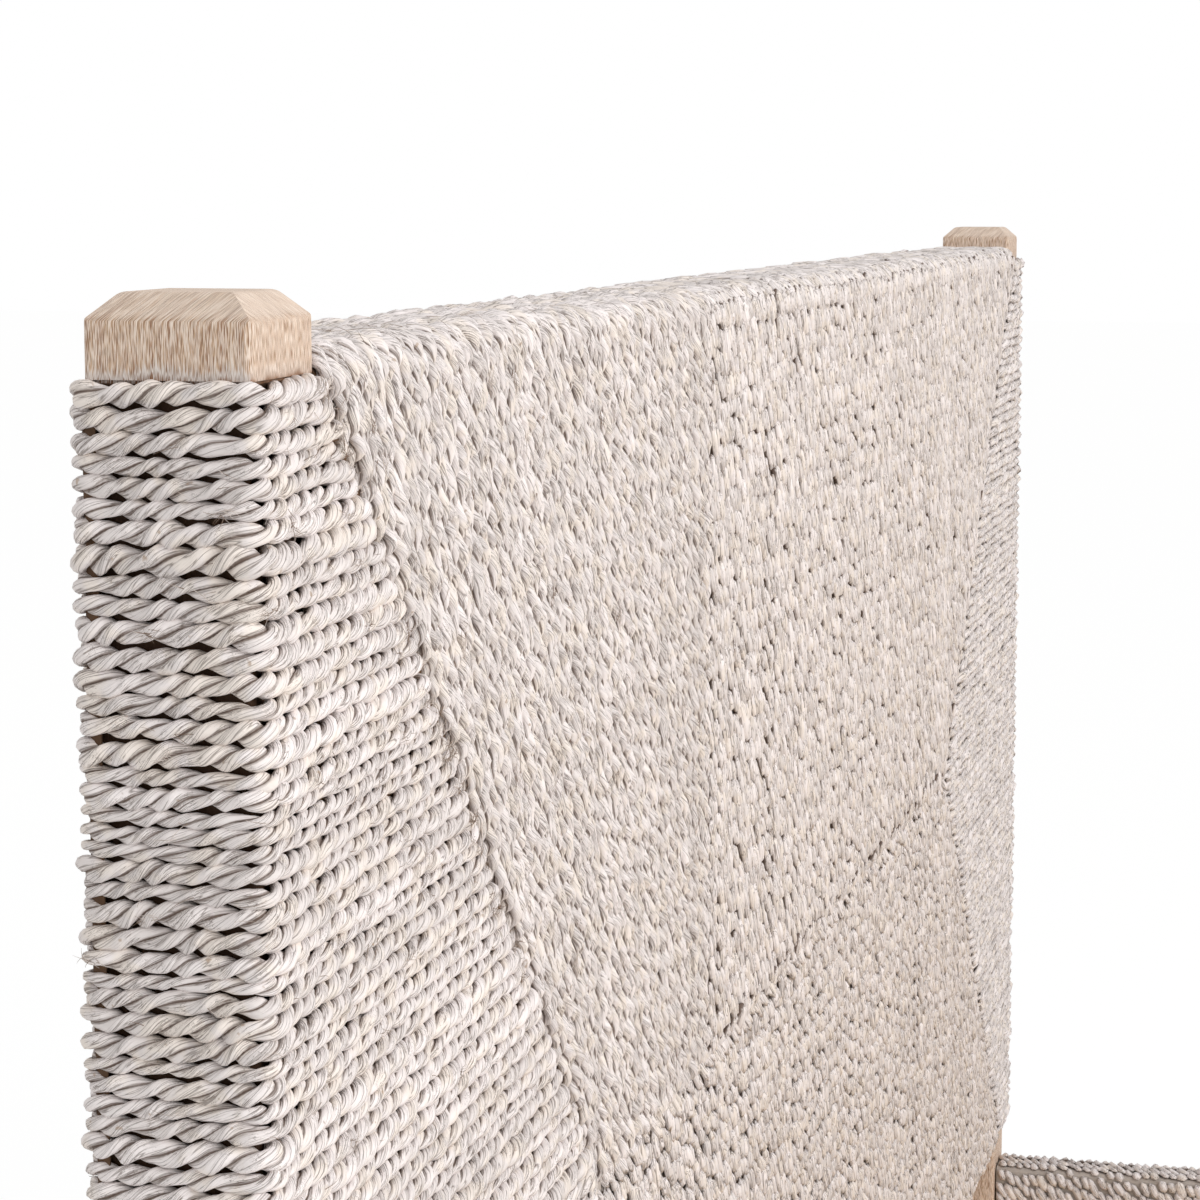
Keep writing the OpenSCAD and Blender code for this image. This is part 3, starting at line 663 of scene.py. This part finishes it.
def parted(turn, rear, skip=-2):
    """The first part of a turn, and the rest of it, which may skip steps or overlap."""
    s, points, normals, size = turn
    cut = int(np.searchsorted(s, s[-1] - rear))
    ahead = (s[: cut + 1], points[: cut + 1], normals[: cut + 1], size[: cut + 1])
    start = min(cut + skip, len(s) - 3)
    behind = (s[start:] - s[start], points[start:], normals[start:], size[start:])
    return ahead, behind


def both_edges(s):
    """Where a row turns round the post's two outer edges."""
    return s[-1] / 2 + (HEAD_HALF - 0.2 * ROW_BEND) * np.array([-1, 1])


left_rows = row_turns(-1, spread=0.17, plump=1.0)
print("left rows", len(left_rows))

# %% [markdown]
# ## Winding the side rows
# The near rows at the left post fill the picture, so their front stretch and their turn round
# the post are real twisted cord. Of the next rows down, the picture only shows the front
# stretch. The rest is leaves. The far rows are seen along their length, and with a gentler
# slant they read as ridges there.

# %% Side rows
PAST_POST = 25 * MM
LEFT, RIGHT = "headboard_weave_left", "headboard_weave_right"
split = [parted(turn, turn[0][-1] / 2 - HEAD_HALF - PAST_POST) for turn in left_rows[:NEAR_ROWS]]
split += [parted(turn, turn[0][-1] / 2 + HEAD_HALF) for turn in left_rows[NEAR_ROWS:LOW_ROWS]]
ahead, behind = [list(parts) for parts in zip(*split)]
twisted_cords("left_rows_upper", ahead[:20], NEAR_LAY_UP, LEFT)
twisted_cords("left_rows_middle", ahead[20:NEAR_ROWS], NEAR_LAY_UP, LEFT)
twisted_cords("left_rows_lower", ahead[NEAR_ROWS:], lay_up(8, 1.4 * MM), LEFT)
leafy_cords("left_rows_rear", behind, FAR_LEAF, LEFT)
right_rows = row_turns(1, spread=0.12, plump=1.08)
leafy_cords("left_rows", left_rows[LOW_ROWS:], FAR_LEAF, LEFT, between=both_edges)
leafy_cords("right_rows", right_rows, FAR_LEAF, RIGHT, between=both_edges, slope=0.6)

# %% [markdown]
# ## The columns of the panel
# The top field's columns roll over the top rail and hang down both faces, and the bottom
# field's columns do the same round the bottom rail. They end on the mitres, or on the seam at
# half height. The near ones are twisted cord, with fewer sides the further off they are, and
# the others are strings of leaves.


# %% Columns
NEAR_COLUMNS = 44
MIDDLE_COLUMNS = 84
TOP, BOTTOM = "headboard_weave_top", "headboard_weave_bottom"


def column_turns(way, edge_z, roll):
    """Every column of the top or bottom field, from the left post to the right."""
    places, widths = shared_out(COLUMN_COUNT, 0.12)
    turns = []
    for place, width in zip(places, widths):
        x = -PANEL_X + place * COLUMN_PITCH
        reach = max(reach_of_column(x, roll), 1.6 * COLUMN_BEND)
        edge = (x, HEAD_Y, edge_z + way * (LIFT - CORD_SHELL / 2))
        step = FINE_STEP * 1.2 if way > 0 and len(turns) < MIDDLE_COLUMNS else PLAIN_STEP
        s, points, normals = over_edge(reach, HEAD_HALF, COLUMN_BEND, edge, (0.0, 0.0, way), step)
        width = width * COLUMN_PITCH / ROW_PITCH * 1.04
        points, size = tucked(s, points, normals, (1.0, 0.0, 0.0), width)
        turns.append((s, points, normals, size))
    return turns


def front_bend(s):
    """Three places on the front bend of a column that ends at the rear edge."""
    return s[-1] - 2 * HEAD_HALF + COLUMN_BEND * np.array([-0.7, 0.1, 0.8])


columns = column_turns(1, top_high.z, top_high.z - ROWS_TOP)
split = [parted(turn, turn[0][-1] / 2 - HEAD_HALF, 3) for turn in columns]
ahead, behind = [list(parts) for parts in zip(*split)]
middle = ahead[NEAR_COLUMNS:MIDDLE_COLUMNS]
twisted_cords("near_columns", ahead[:NEAR_COLUMNS], lay_up(8, 1.2 * MM), TOP)
twisted_cords("middle_columns_1", middle[::2], lay_up(6, 0.7 * MM), TOP)
twisted_cords("middle_columns_2", middle[1::2], lay_up(6, 0.7 * MM), TOP)
leafy_cords("front_columns", ahead[MIDDLE_COLUMNS:], NEAR_LEAF, TOP, between=front_bend)
leafy_cords("rear_columns", behind, FAR_LEAF, TOP)
bottom_columns = column_turns(-1, bottom_low.z, ROWS_BOTTOM - bottom_low.z)
leafy_cords("bottom_columns", bottom_columns, FAR_LEAF, BOTTOM)

# %% [markdown]
# ## Stray fibres
# Leaf cord is never clean: hairs stand off it, and where a new strip was twisted in, the ends
# fray in a small brown tangle. A hair particle system would be quicker to set up, but its hairs
# don't follow the cord. Here each hair is a short curve with a little thickness. In life a hair
# is 0.15 mm thick, and it is drawn at 0.3 mm so that it shows.


# %% Loose fibre material and hairs
def loose_fibre():
    mat, tree = blank_material("frayed_leaf_fibre")
    place = add(tree, "ShaderNodeTexCoord").outputs["Object"]
    mottle = grains(tree, place, [9 * MM] * 3)
    share = add(tree, STEP, {0: mottle, 1: 0.4, 2: 0.6}, **SMOOTH)
    tones = {0: share, "A": linear("7d6552"), "B": linear("d8ccc4")}
    surface(tree, add(tree, MIX, tones, **COLOUR), 0.75, mottle, 0.1, 0.1 * MM)
    return mat


FIBRE = loose_fibre()
HAIR_RADIUS = 0.15 * MM
HAIR_POINTS = 7
# How far from the cord's axis a hair grows out of it.
HAIR_ROOT_MM = 3.9


def one_hair(spot, out, ahead, length, lift, in_tuft):
    """The points of a hair that leaves the cord at a spot and bends as it likes."""
    way = ahead * chance.choice((-1, 1)) + chance.normal(0, 0.45, 3)
    way = way - out * (way @ out) * 0.9
    way /= np.linalg.norm(way)
    root = spot + out * HAIR_ROOT_MM * MM + chance.normal(0, 0.9 * MM, 3) * in_tuft
    reach, rise = length * chance.uniform(0.5, 1.3), lift * chance.uniform(0.2, 1.0)
    t = np.linspace(0, 1, HAIR_POINTS)[:, None]
    bend = np.cross(out, way) * chance.normal(0, 0.3)
    return root + way * reach * t + bend * reach * t**2 + out * rise * np.sin(t * math.pi * 0.8)


def stray_fibres(name, turns, tufts, hairs, length, lift, span, node):
    """Tufts of hairs on the given span of each cord. A tuft of one is a single hair."""
    data = bpy.data.curves.new(name + "_lines", "CURVE")
    data.dimensions = "3D"
    data.bevel_depth = HAIR_RADIUS
    data.bevel_resolution = 0
    for _ in range(tufts):
        s, points, normals, _ = turns[chance.integers(len(turns))]
        at = 2 + int(chance.uniform(*span) * (len(s) - 5))
        ahead = points[at + 1] - points[at]
        ahead /= np.linalg.norm(ahead)
        for _ in range(hairs):
            line = one_hair(points[at], normals[at], ahead, length * MM, lift * MM, hairs > 1)
            line = np.c_[line, np.ones(HAIR_POINTS)]
            spline = data.splines.new("POLY")
            spline.points.add(HAIR_POINTS - 1)
            spline.points.foreach_set("co", line.astype(np.float32).ravel())
            thinner = np.linspace(1.0, 0.35, HAIR_POINTS)
            spline.points.foreach_set("radius", thinner.astype(np.float32))
    finished(in_scene(name + "_lines", data), name, FIBRE, node)


near_rows, near_half = left_rows[:NEAR_ROWS], columns[:110]
stray_fibres("row_hairs", near_rows, 150, 1, 10, 1.2, (0.0, 0.52), LEFT)
stray_fibres("row_tangles", near_rows, 26, 12, 6, 1.0, (0.0, 0.6), LEFT)
stray_fibres("mitre_tufts", near_rows, 40, 9, 7, 1.0, (0.0, 0.03), LEFT)
stray_fibres("column_hairs", near_half, 260, 1, 10, 0.9, (0.0, 0.5), TOP)
stray_fibres("column_tangles", near_half, 40, 10, 6, 0.8, (0.0, 0.5), TOP)

# %% [markdown]
# ## Lining and padding under the cord
# Between the rails the panel is hollow, and a weaver lines it with brown kraft paper before
# winding. The paper is dark, so that it shows as painted shade in the gaps between the turns,
# and a strip of it on the rear of the left post under the near rows is painted shade too. Teased
# seagrass is then packed under the cord, so that the winding lies tight and no timber shows
# between the turns. Cloth simulation would be wasted on what shows only through gaps. Both are
# thin sleeves with rounded edges: a box whose long edges are bevelled, without its ends, and
# with a wall.


# %% Sleeves
def sleeve(name, low, high, run, corner, cut=None, spare=None):
    """An open tube along one axis, from corner to corner, without the faces that spare picks."""
    shape = bmesh.new()
    bmesh.ops.create_cube(shape, size=1.0)
    bmesh.ops.scale(shape, verts=shape.verts, vec=high - low)
    bmesh.ops.translate(shape, verts=shape.verts, vec=(high + low) / 2)
    edges = [e for e in shape.edges if abs((e.verts[0].co - e.verts[1].co)[run]) > 1 * MM]
    rounded = {"affect": "EDGES", "offset": corner, "segments": 5, "profile": 0.5, "material": -1}
    bmesh.ops.bevel(shape, geom=edges, **rounded)
    if cut is not None:
        every = shape.verts[:] + shape.edges[:] + shape.faces[:]
        bmesh.ops.bisect_plane(shape, geom=every, plane_co=(0, 0, cut), plane_no=(0, 0, 1))
    bare = [
        f
        for f in shape.faces
        if abs(f.normal[run]) > 0.9 or (spare and spare(f.calc_center_median()))
    ]
    bmesh.ops.delete(shape, geom=bare, context="FACES")
    bmesh.ops.recalc_face_normals(shape, faces=shape.faces)
    bmesh.ops.solidify(shape, geom=shape.faces[:], thickness=-0.8 * MM)
    bmesh.ops.recalc_face_normals(shape, faces=shape.faces)
    piece = mesh_object(shape, name + "_form")
    bpy.context.scene.collection.objects.link(piece)
    return piece


print("a sleeve's wall is 0.8 mm")

# %% [markdown]
# ## Limed and planed timber
# The posts are hard timber, wire-brushed and rubbed with lime, which leaves pale pores between
# raised ridges. The grain could come from a wave texture, but that repeats. Stretched noise
# doesn't: it is fine across the board and long along it. On the head posts some of the white
# wash has run down on the last of the bare timber. The timber under the cord is painted dark
# brown as shade for the gaps between the turns, a ragged brown band of painted shade marks the
# crevice along the rope line, and the chamfers are painted paler as light from above.
# The legs under the headboard and the foot posts are limed all over. The slats and their
# bearers are planed pine.


# %% Timber materials
CHAMFER_LOW = cad_high.z - 10.0 * MM
ROPE_LINE = ROWS_TOP - 8.5 * MM
HEAD_FROM_Y = HEAD_Y - 0.1


def limed_timber():
    """Hard timber, wire-brushed up and down and rubbed with lime."""
    mat, tree = blank_material("limed_brushed_mango")
    coords = add(tree, "ShaderNodeTexCoord").outputs
    across, deep, height = add(tree, "ShaderNodeSeparateXYZ", {0: coords["Object"]}).outputs
    out = add(tree, "ShaderNodeSeparateXYZ", {0: coords["Normal"]}).outputs
    out_x, out_y = [add(tree, MATH, {0: out[k]}, operation="ABSOLUTE") for k in (0, 1)]
    on_side = add(tree, MATH, {0: out_x, 1: out_y}, operation="GREATER_THAN")
    up = add(tree, MATH, {0: height, 1: CHAMFER_LOW}, operation="SUBTRACT")
    on_chamfer = add(tree, MATH, {0: up, 1: 0.0}, operation="MAXIMUM")
    edgeways = add(tree, MIX, {0: on_side, "A": across, "B": deep}, data_type="FLOAT")
    edgeways = add(tree, MATH, {0: edgeways, 1: on_chamfer}, operation="ADD")
    flat = add(tree, "ShaderNodeCombineXYZ", {"X": edgeways, "Y": on_side, "Z": height})
    grain = grains(tree, flat, (0.24 * MM, 0.3, 5 * MM), 1.0)
    figure = grains(tree, flat, (3 * MM, 0.3, 60 * MM))
    along_rope = grains(tree, flat, (11 * MM, 0.3, 1.0), 1.0)
    pores = add(tree, MATH, {0: on_side, 1: -0.02, 2: grain}, operation="MULTIPLY_ADD")
    ragged = add(tree, MATH, {0: grain, 1: -12 * MM, 2: height}, operation="MULTIPLY_ADD")
    ragged = add(tree, MATH, {0: along_rope, 1: -7 * MM, 2: ragged}, operation="MULTIPLY_ADD")
    tone, lime, ridge, chamfer_light, run_down, on_face, at_line = [
        add(tree, STEP, dict(enumerate(step)), **SMOOTH)
        for step in (
            (figure, 0.3, 0.7),
            (pores, 0.42, 0.6),
            (grain, 0.34, 0.46, 0.25, 1.0),
            # The chamfers are painted paler: painted light, for the light from above.
            (on_chamfer, 0.0, 3 * MM, 0.0, 0.35),
            (ragged, ROPE_LINE + 1 * MM, ROPE_LINE + 4.5 * MM, 0.75, 0.0),
            (on_side, 0.0, 1.0, 0.25, 1.0),
            # The ragged band along the rope line: painted shade in the crevice where the cord meets the
            # cap.
            (ragged, ROPE_LINE - 2 * MM, ROPE_LINE + 0.5 * MM, 1.0, 0.0),
        )
    ]
    near_rope, at_head, above_legs, under = [
        add(tree, MATH, {0: value, 1: limit}, operation=test)
        for value, limit, test in (
            (height, ROWS_TOP - 20 * MM, "GREATER_THAN"),
            (deep, HEAD_FROM_Y, "GREATER_THAN"),
            (height, ROWS_BOTTOM - 1 * MM, "GREATER_THAN"),
            # The timber under the cord, which is painted dark brown as shade.
            (height, ROWS_TOP - 1 * MM, "LESS_THAN"),
        )
    ]
    wash = add(tree, MATH, {0: run_down, 1: on_face}, operation="MULTIPLY")
    wash = add(tree, MATH, {0: wash, 1: near_rope}, operation="MULTIPLY")
    cord_zone = add(tree, MATH, {0: at_head, 1: above_legs}, operation="MULTIPLY")
    crevice_shade, gap_shade = [
        add(tree, MATH, {0: cord_zone, 1: part}, operation="MULTIPLY")
        for part in (at_line, under)
    ]
    timber = add(tree, MIX, {0: tone, "A": linear("b8947a"), "B": linear("d3b497")}, **COLOUR)
    limed = add(tree, MIX, {0: lime, "A": timber, "B": linear("eddccd")}, **COLOUR)
    colour = add(tree, MIX, {0: ridge, "A": linear("7c5a41"), "B": limed}, **COLOUR)
    # The paler chamfers are painted light. The rope-line band and the timber under the cord are painted
    # shade.
    for share, tint in ((chamfer_light, "f3e2d3"), (wash, "e6e0dc"), (crevice_shade, "8d6446"), (gap_shade, "4a3220")):
        colour = add(tree, MIX, {0: share, "A": colour, "B": linear(tint)}, **COLOUR)
    surface(tree, colour, 0.68, grain, 0.8, 0.5 * MM, **{"Specular IOR Level": 0.35})
    return mat


def planed_timber(name, pale, dark, lengthways, roughness):
    """Sawn and planed softwood. lengthways is the axis that the grain follows."""
    mat, tree = blank_material(name)
    place = add(tree, "ShaderNodeTexCoord").outputs["Object"]
    fine, broad = [2.2 * MM] * 3, [16 * MM] * 3
    fine[lengthways], broad[lengthways] = 160 * MM, 500 * MM
    grain = grains(tree, place, fine, 3.0)
    rings = grains(tree, place, broad, 1.5)
    both = add(tree, MATH, {0: grain, 1: rings}, operation="ADD")
    share = add(tree, STEP, {0: both, 1: 0.75, 2: 1.3}, **SMOOTH)
    tones = {0: share, "A": linear(dark), "B": linear(pale)}
    surface(tree, add(tree, MIX, tones, **COLOUR), roughness, grain, 0.3, 0.2 * MM)
    return mat


LIMED = limed_timber()
STRETCHER = planed_timber("limed_mango_board", "ead9c9", "cfb298", 0, 0.65)
SLAT = planed_timber("planed_pine_slat", "e3c9a0", "c79f6b", 0, 0.55)
BEAM = planed_timber("planed_pine_beam", "dfc49b", "c39a67", 1, 0.55)
LEG = planed_timber("planed_pine_leg", "dfc49b", "c39a67", 2, 0.55)
CORE = planed_timber("rough_sawn_core", "8a6a4a", "5f452e", 0, 0.8)
print("timbers", [m.name for m in (LIMED, STRETCHER, SLAT, BEAM, LEG, CORE)])

# %% [markdown]
# ## Steel, nylon, paper and padding
# The fasteners are zinc-plated: a soft grey metal with a fine mottled bloom. The glides are
# moulded nylon, dark and slightly waxy. The lining is dull brown paper, dark as painted shade for
# the gaps, and the padding is loose pale fibre. All four are two close tones in fine grains, so
# one function makes them.


# %% Small materials
def speckled(name, one, two, grit, metallic, roughness):
    """A plated, moulded, pulped or teased surface, in grains of a given size."""
    mat, tree = blank_material(name)
    place = add(tree, "ShaderNodeTexCoord").outputs["Object"]
    mottle = grains(tree, place, [grit] * 3, 3.0)
    tones = {0: mottle, "A": linear(one), "B": linear(two)}
    colour = add(tree, MIX, tones, **COLOUR)
    surface(tree, colour, roughness, mottle, 0.15, 0.1 * MM, Metallic=metallic)
    return mat


STEEL = speckled("zinc_plated_steel", "b9bcc0", "d3d5d8", 1.5 * MM, 1.0, 0.34)
NYLON = speckled("moulded_nylon", "2b2a29", "3a3836", 0.8 * MM, 0.0, 0.5)
SHADE_KRAFT = speckled("kraft_paper_shade", "6b4f38", "4c3726", 3 * MM, 0.0, 0.9)
PADDING = speckled("teased_seagrass", "c0b6ae", "a89e96", 2 * MM, 0.0, 0.85)
print("made", len(bpy.data.materials), "materials")

# %% [markdown]
# ## Setting the lining and the padding
# The padding lies 0.9 mm under the middle line of the cord, and the panel's paper 3.2 mm. The
# near turns have no padding on the front, so their gaps show the dark paper or the dark timber
# as painted shade.
# Each sleeve belongs to the field of cord that covers it.


# %% Set the lining and the padding
LINING_DEPTH = 3.2 * MM
PADDING_DEPTH = 0.9 * MM
SLEEVE_CORNER = 7 * MM
PART_X = -PANEL_X + MIDDLE_COLUMNS * COLUMN_PITCH
POST_OUT = OUTER_X - PADDING_DEPTH
near_span, far_span = (-PANEL_X + 1 * MM, PART_X), (PART_X, PANEL_X - 1 * MM)
lined = (bottom_low.z + CORD_SHELL, top_high.z - CORD_SHELL)
packed = (bottom_low.z + CORD_SHELL / 2, top_high.z - CORD_SHELL / 2)
every_row = (ROWS_BOTTOM + 1 * MM, ROWS_TOP - 2 * MM)
low_rows = (every_row[0], ROWS_TOP - NEAR_ROWS * ROW_PITCH)
high_rows = (low_rows[1], every_row[1])


def headboard_sleeve(name, material, depth, x_span, z_span, run, nodes, cut=None, spare=None):
    """A sleeve in the headboard, this deep under the middle line of the cord."""
    half = HEAD_HALF - depth
    low = Vector((x_span[0], HEAD_Y - half, z_span[0]))
    high = Vector((x_span[1], HEAD_Y + half, z_span[1]))
    form = sleeve(name, low, high, run, SLEEVE_CORNER, cut, spare)
    finished(form, name, material, *nodes)


def on_front(place, margin):
    return place.y < HEAD_Y + HEAD_HALF - margin


def front_top(place):
    return place.z > MIDDLE_Z and on_front(place, 8 * MM)


def inner_left(place):
    return place.x > -PANEL_X - 8 * MM


def inner_right(place):
    return place.x < PANEL_X + 8 * MM


def all_but_rear(place):
    return inner_left(place) or on_front(place, 9 * MM)


left_post, right_post = (-POST_OUT, -PANEL_X), (PANEL_X, POST_OUT)
PANEL = (TOP, BOTTOM)
# The two sleeves of dark kraft paper are painted shade for the gaps between the turns.
for name, material, depth, *where in (
    ("kraft_lining", SHADE_KRAFT, LINING_DEPTH, (near_span[0], far_span[1]), lined, 0, PANEL),
    ("far_padding", PADDING, PADDING_DEPTH, far_span, packed, 0, PANEL),
    ("near_padding", PADDING, PADDING_DEPTH, near_span, packed, 0, PANEL, MIDDLE_Z, front_top),
    ("right_post_padding", PADDING, PADDING_DEPTH, right_post, every_row, 2, [RIGHT], None, inner_right),
    ("left_post_padding", PADDING, PADDING_DEPTH, left_post, low_rows, 2, [LEFT], None, inner_left),
    ("left_post_lining", SHADE_KRAFT, PADDING_DEPTH, left_post, high_rows, 2, [LEFT], None, all_but_rear),
):
    headboard_sleeve(name, material, depth, *where)

# %% [markdown]
# ## Wrapped rails
# The side rails and the foot rail are planks with one long cord wound round them, turn beside
# turn. Each turn climbs one pitch along the plank, so that it would join the next. Under the
# cord lies the same padding as in the headboard.


# %% Rail wraps
def wrapped_rail(node, name):
    low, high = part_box(node)
    size, centre = high - low, (high + low) / 2
    run, across = (1, 0) if size.y > size.x else (0, 1)
    wide, along = np.eye(3)[across], np.eye(3)[run]
    half_wide = size[across] / 2 - CORD_SHELL / 2 + LIFT
    half_high = size.z / 2 - CORD_SHELL / 2 + LIFT
    count = round(size[run] / ROW_PITCH)
    places, widths = shared_out(count, 0.08)
    turns = []
    for place, width in zip(places, widths):
        middle = np.array(centre)
        middle[run] = low[run] + place * size[run] / count
        s, points, normals = round_board(half_wide, half_high, ROW_BEND, middle, wide, PLAIN_STEP)
        climb = (s / s[-1] - 0.5) * ROW_PITCH + drift(s, 0.1, 0.3 * MM)
        turns.append((s, points + np.outer(climb, along), normals, np.full(len(s), 1.08 * width)))
    leafy_cords(name, turns, FAR_LEAF, node)
    inset = Vector([CORD_SHELL / 2 - LIFT + PADDING_DEPTH] * 3)
    inset[run] = 1 * MM
    form = sleeve(name + "_padding", low + inset, high - inset, run, 5 * MM)
    finished(form, name + "_padding", PADDING, node)


wrapped_rail("side_rail_wrap_left", "left_rail_cord")
wrapped_rail("side_rail_wrap_right", "right_rail_cord")
wrapped_rail("foot_rail_wrap", "foot_rail_cord")

# %% [markdown]
# ## Finishes on the frame's own pieces
# The timbers, bolts and glides are already the real shape, so a frame piece keeps its mesh and
# gets its material by name. The first row that fits a name counts.

# %% Dress the frame
FINISHES = [
    (("headboard_post", "foot_post"), LIMED),
    (("headboard_stretcher",), STRETCHER),
    (("slat_cleat", "centre_beam"), BEAM),
    (("centre_leg_glides", "post_glides"), NYLON),
    (("centre_leg",), LEG),
    (("slat_screws", "cleat_screws", "hanger_screws", "beam_hanger"), STEEL),
    (("bed_bolts", "bolt_washers", "barrel_nuts"), STEEL),
    (("slat_",), SLAT),
    (("headboard_", "foot_rail", "side_rail"), CORE),
]
for node_name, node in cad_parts.items():
    finish = next(m for names, m in FINISHES if node_name.startswith(names))
    for holder in node.material_slots:
        holder.material = finish
print("dressed", len(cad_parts), "frame pieces")

# %% [markdown]
# ## Floor and light
# A plain studio: a pale floor that keeps the shadow but otherwise shows white to the camera, an
# even white world, and one broad lamp in front of the headboard and above it, so the front is
# brighter than the end of the post. More light would also whiten the background, but it would
# bleach the cord. The floor is part paint, part glow, and its glow is a little over 1 because
# the painted part alone is a little darker than the world behind it.

# %% Stage
FLOOR_GLOW_SHARE = 0.88
FLOOR_GLOW = 1.035
WHITE = linear("ffffff")


def seen_itself(tree):
    """One for rays that show the background: from the camera, off gloss or through glass."""
    rays = add(tree, "ShaderNodeLightPath").outputs
    seen = {0: rays["Is Camera Ray"], 1: rays["Is Glossy Ray"]}
    seen = {0: add(tree, MATH, seen, operation="MAXIMUM")}
    seen[1] = rays["Is Transmission Ray"]
    return add(tree, MATH, seen, operation="MAXIMUM")


def studio_floor():
    mat, tree = blank_material("white_floor")
    share = {0: seen_itself(tree), 1: FLOOR_GLOW_SHARE}
    share = add(tree, MATH, share, operation="MULTIPLY")
    paint = add(tree, "ShaderNodeBsdfDiffuse", {"Color": linear("f6f6f5")})
    glow = add(tree, "ShaderNodeEmission", {"Color": WHITE, "Strength": FLOOR_GLOW})
    both = add(tree, "ShaderNodeMixShader", {"Fac": share, 1: paint, 2: glow})
    add(tree, "ShaderNodeOutputMaterial", {"Surface": both})
    shape = bmesh.new()
    bmesh.ops.create_grid(shape, x_segments=1, y_segments=1, size=30.0)
    floor = mesh_object(shape, "floor")
    floor.data.materials.append(mat)
    bpy.context.scene.collection.objects.link(floor)


def studio_world(strength):
    world = bpy.data.worlds.new("white_studio")
    world.use_nodes = True
    tree = world.node_tree
    tree.nodes.clear()
    level = {0: seen_itself(tree), 3: strength}
    level = add(tree, STEP, level, **SMOOTH)
    glow = add(tree, "ShaderNodeBackground", {"Color": WHITE, "Strength": level})
    add(tree, "ShaderNodeOutputWorld", {"Surface": glow})
    bpy.context.scene.world = world


def broad_lamp(name, place, target, size, power):
    data = bpy.data.lights.new(name, "AREA")
    data.shape = "RECTANGLE"
    data.size, data.size_y = size
    data.energy = power
    aim(in_scene(name, data), place, Vector(target) - Vector(place))


studio_floor()
studio_world(0.74)
broad_lamp("key", (-1.6, -3.0, 2.7), (-0.2, HEAD_Y, 0.9), (2.6, 1.8), 110.0)
print("lit")
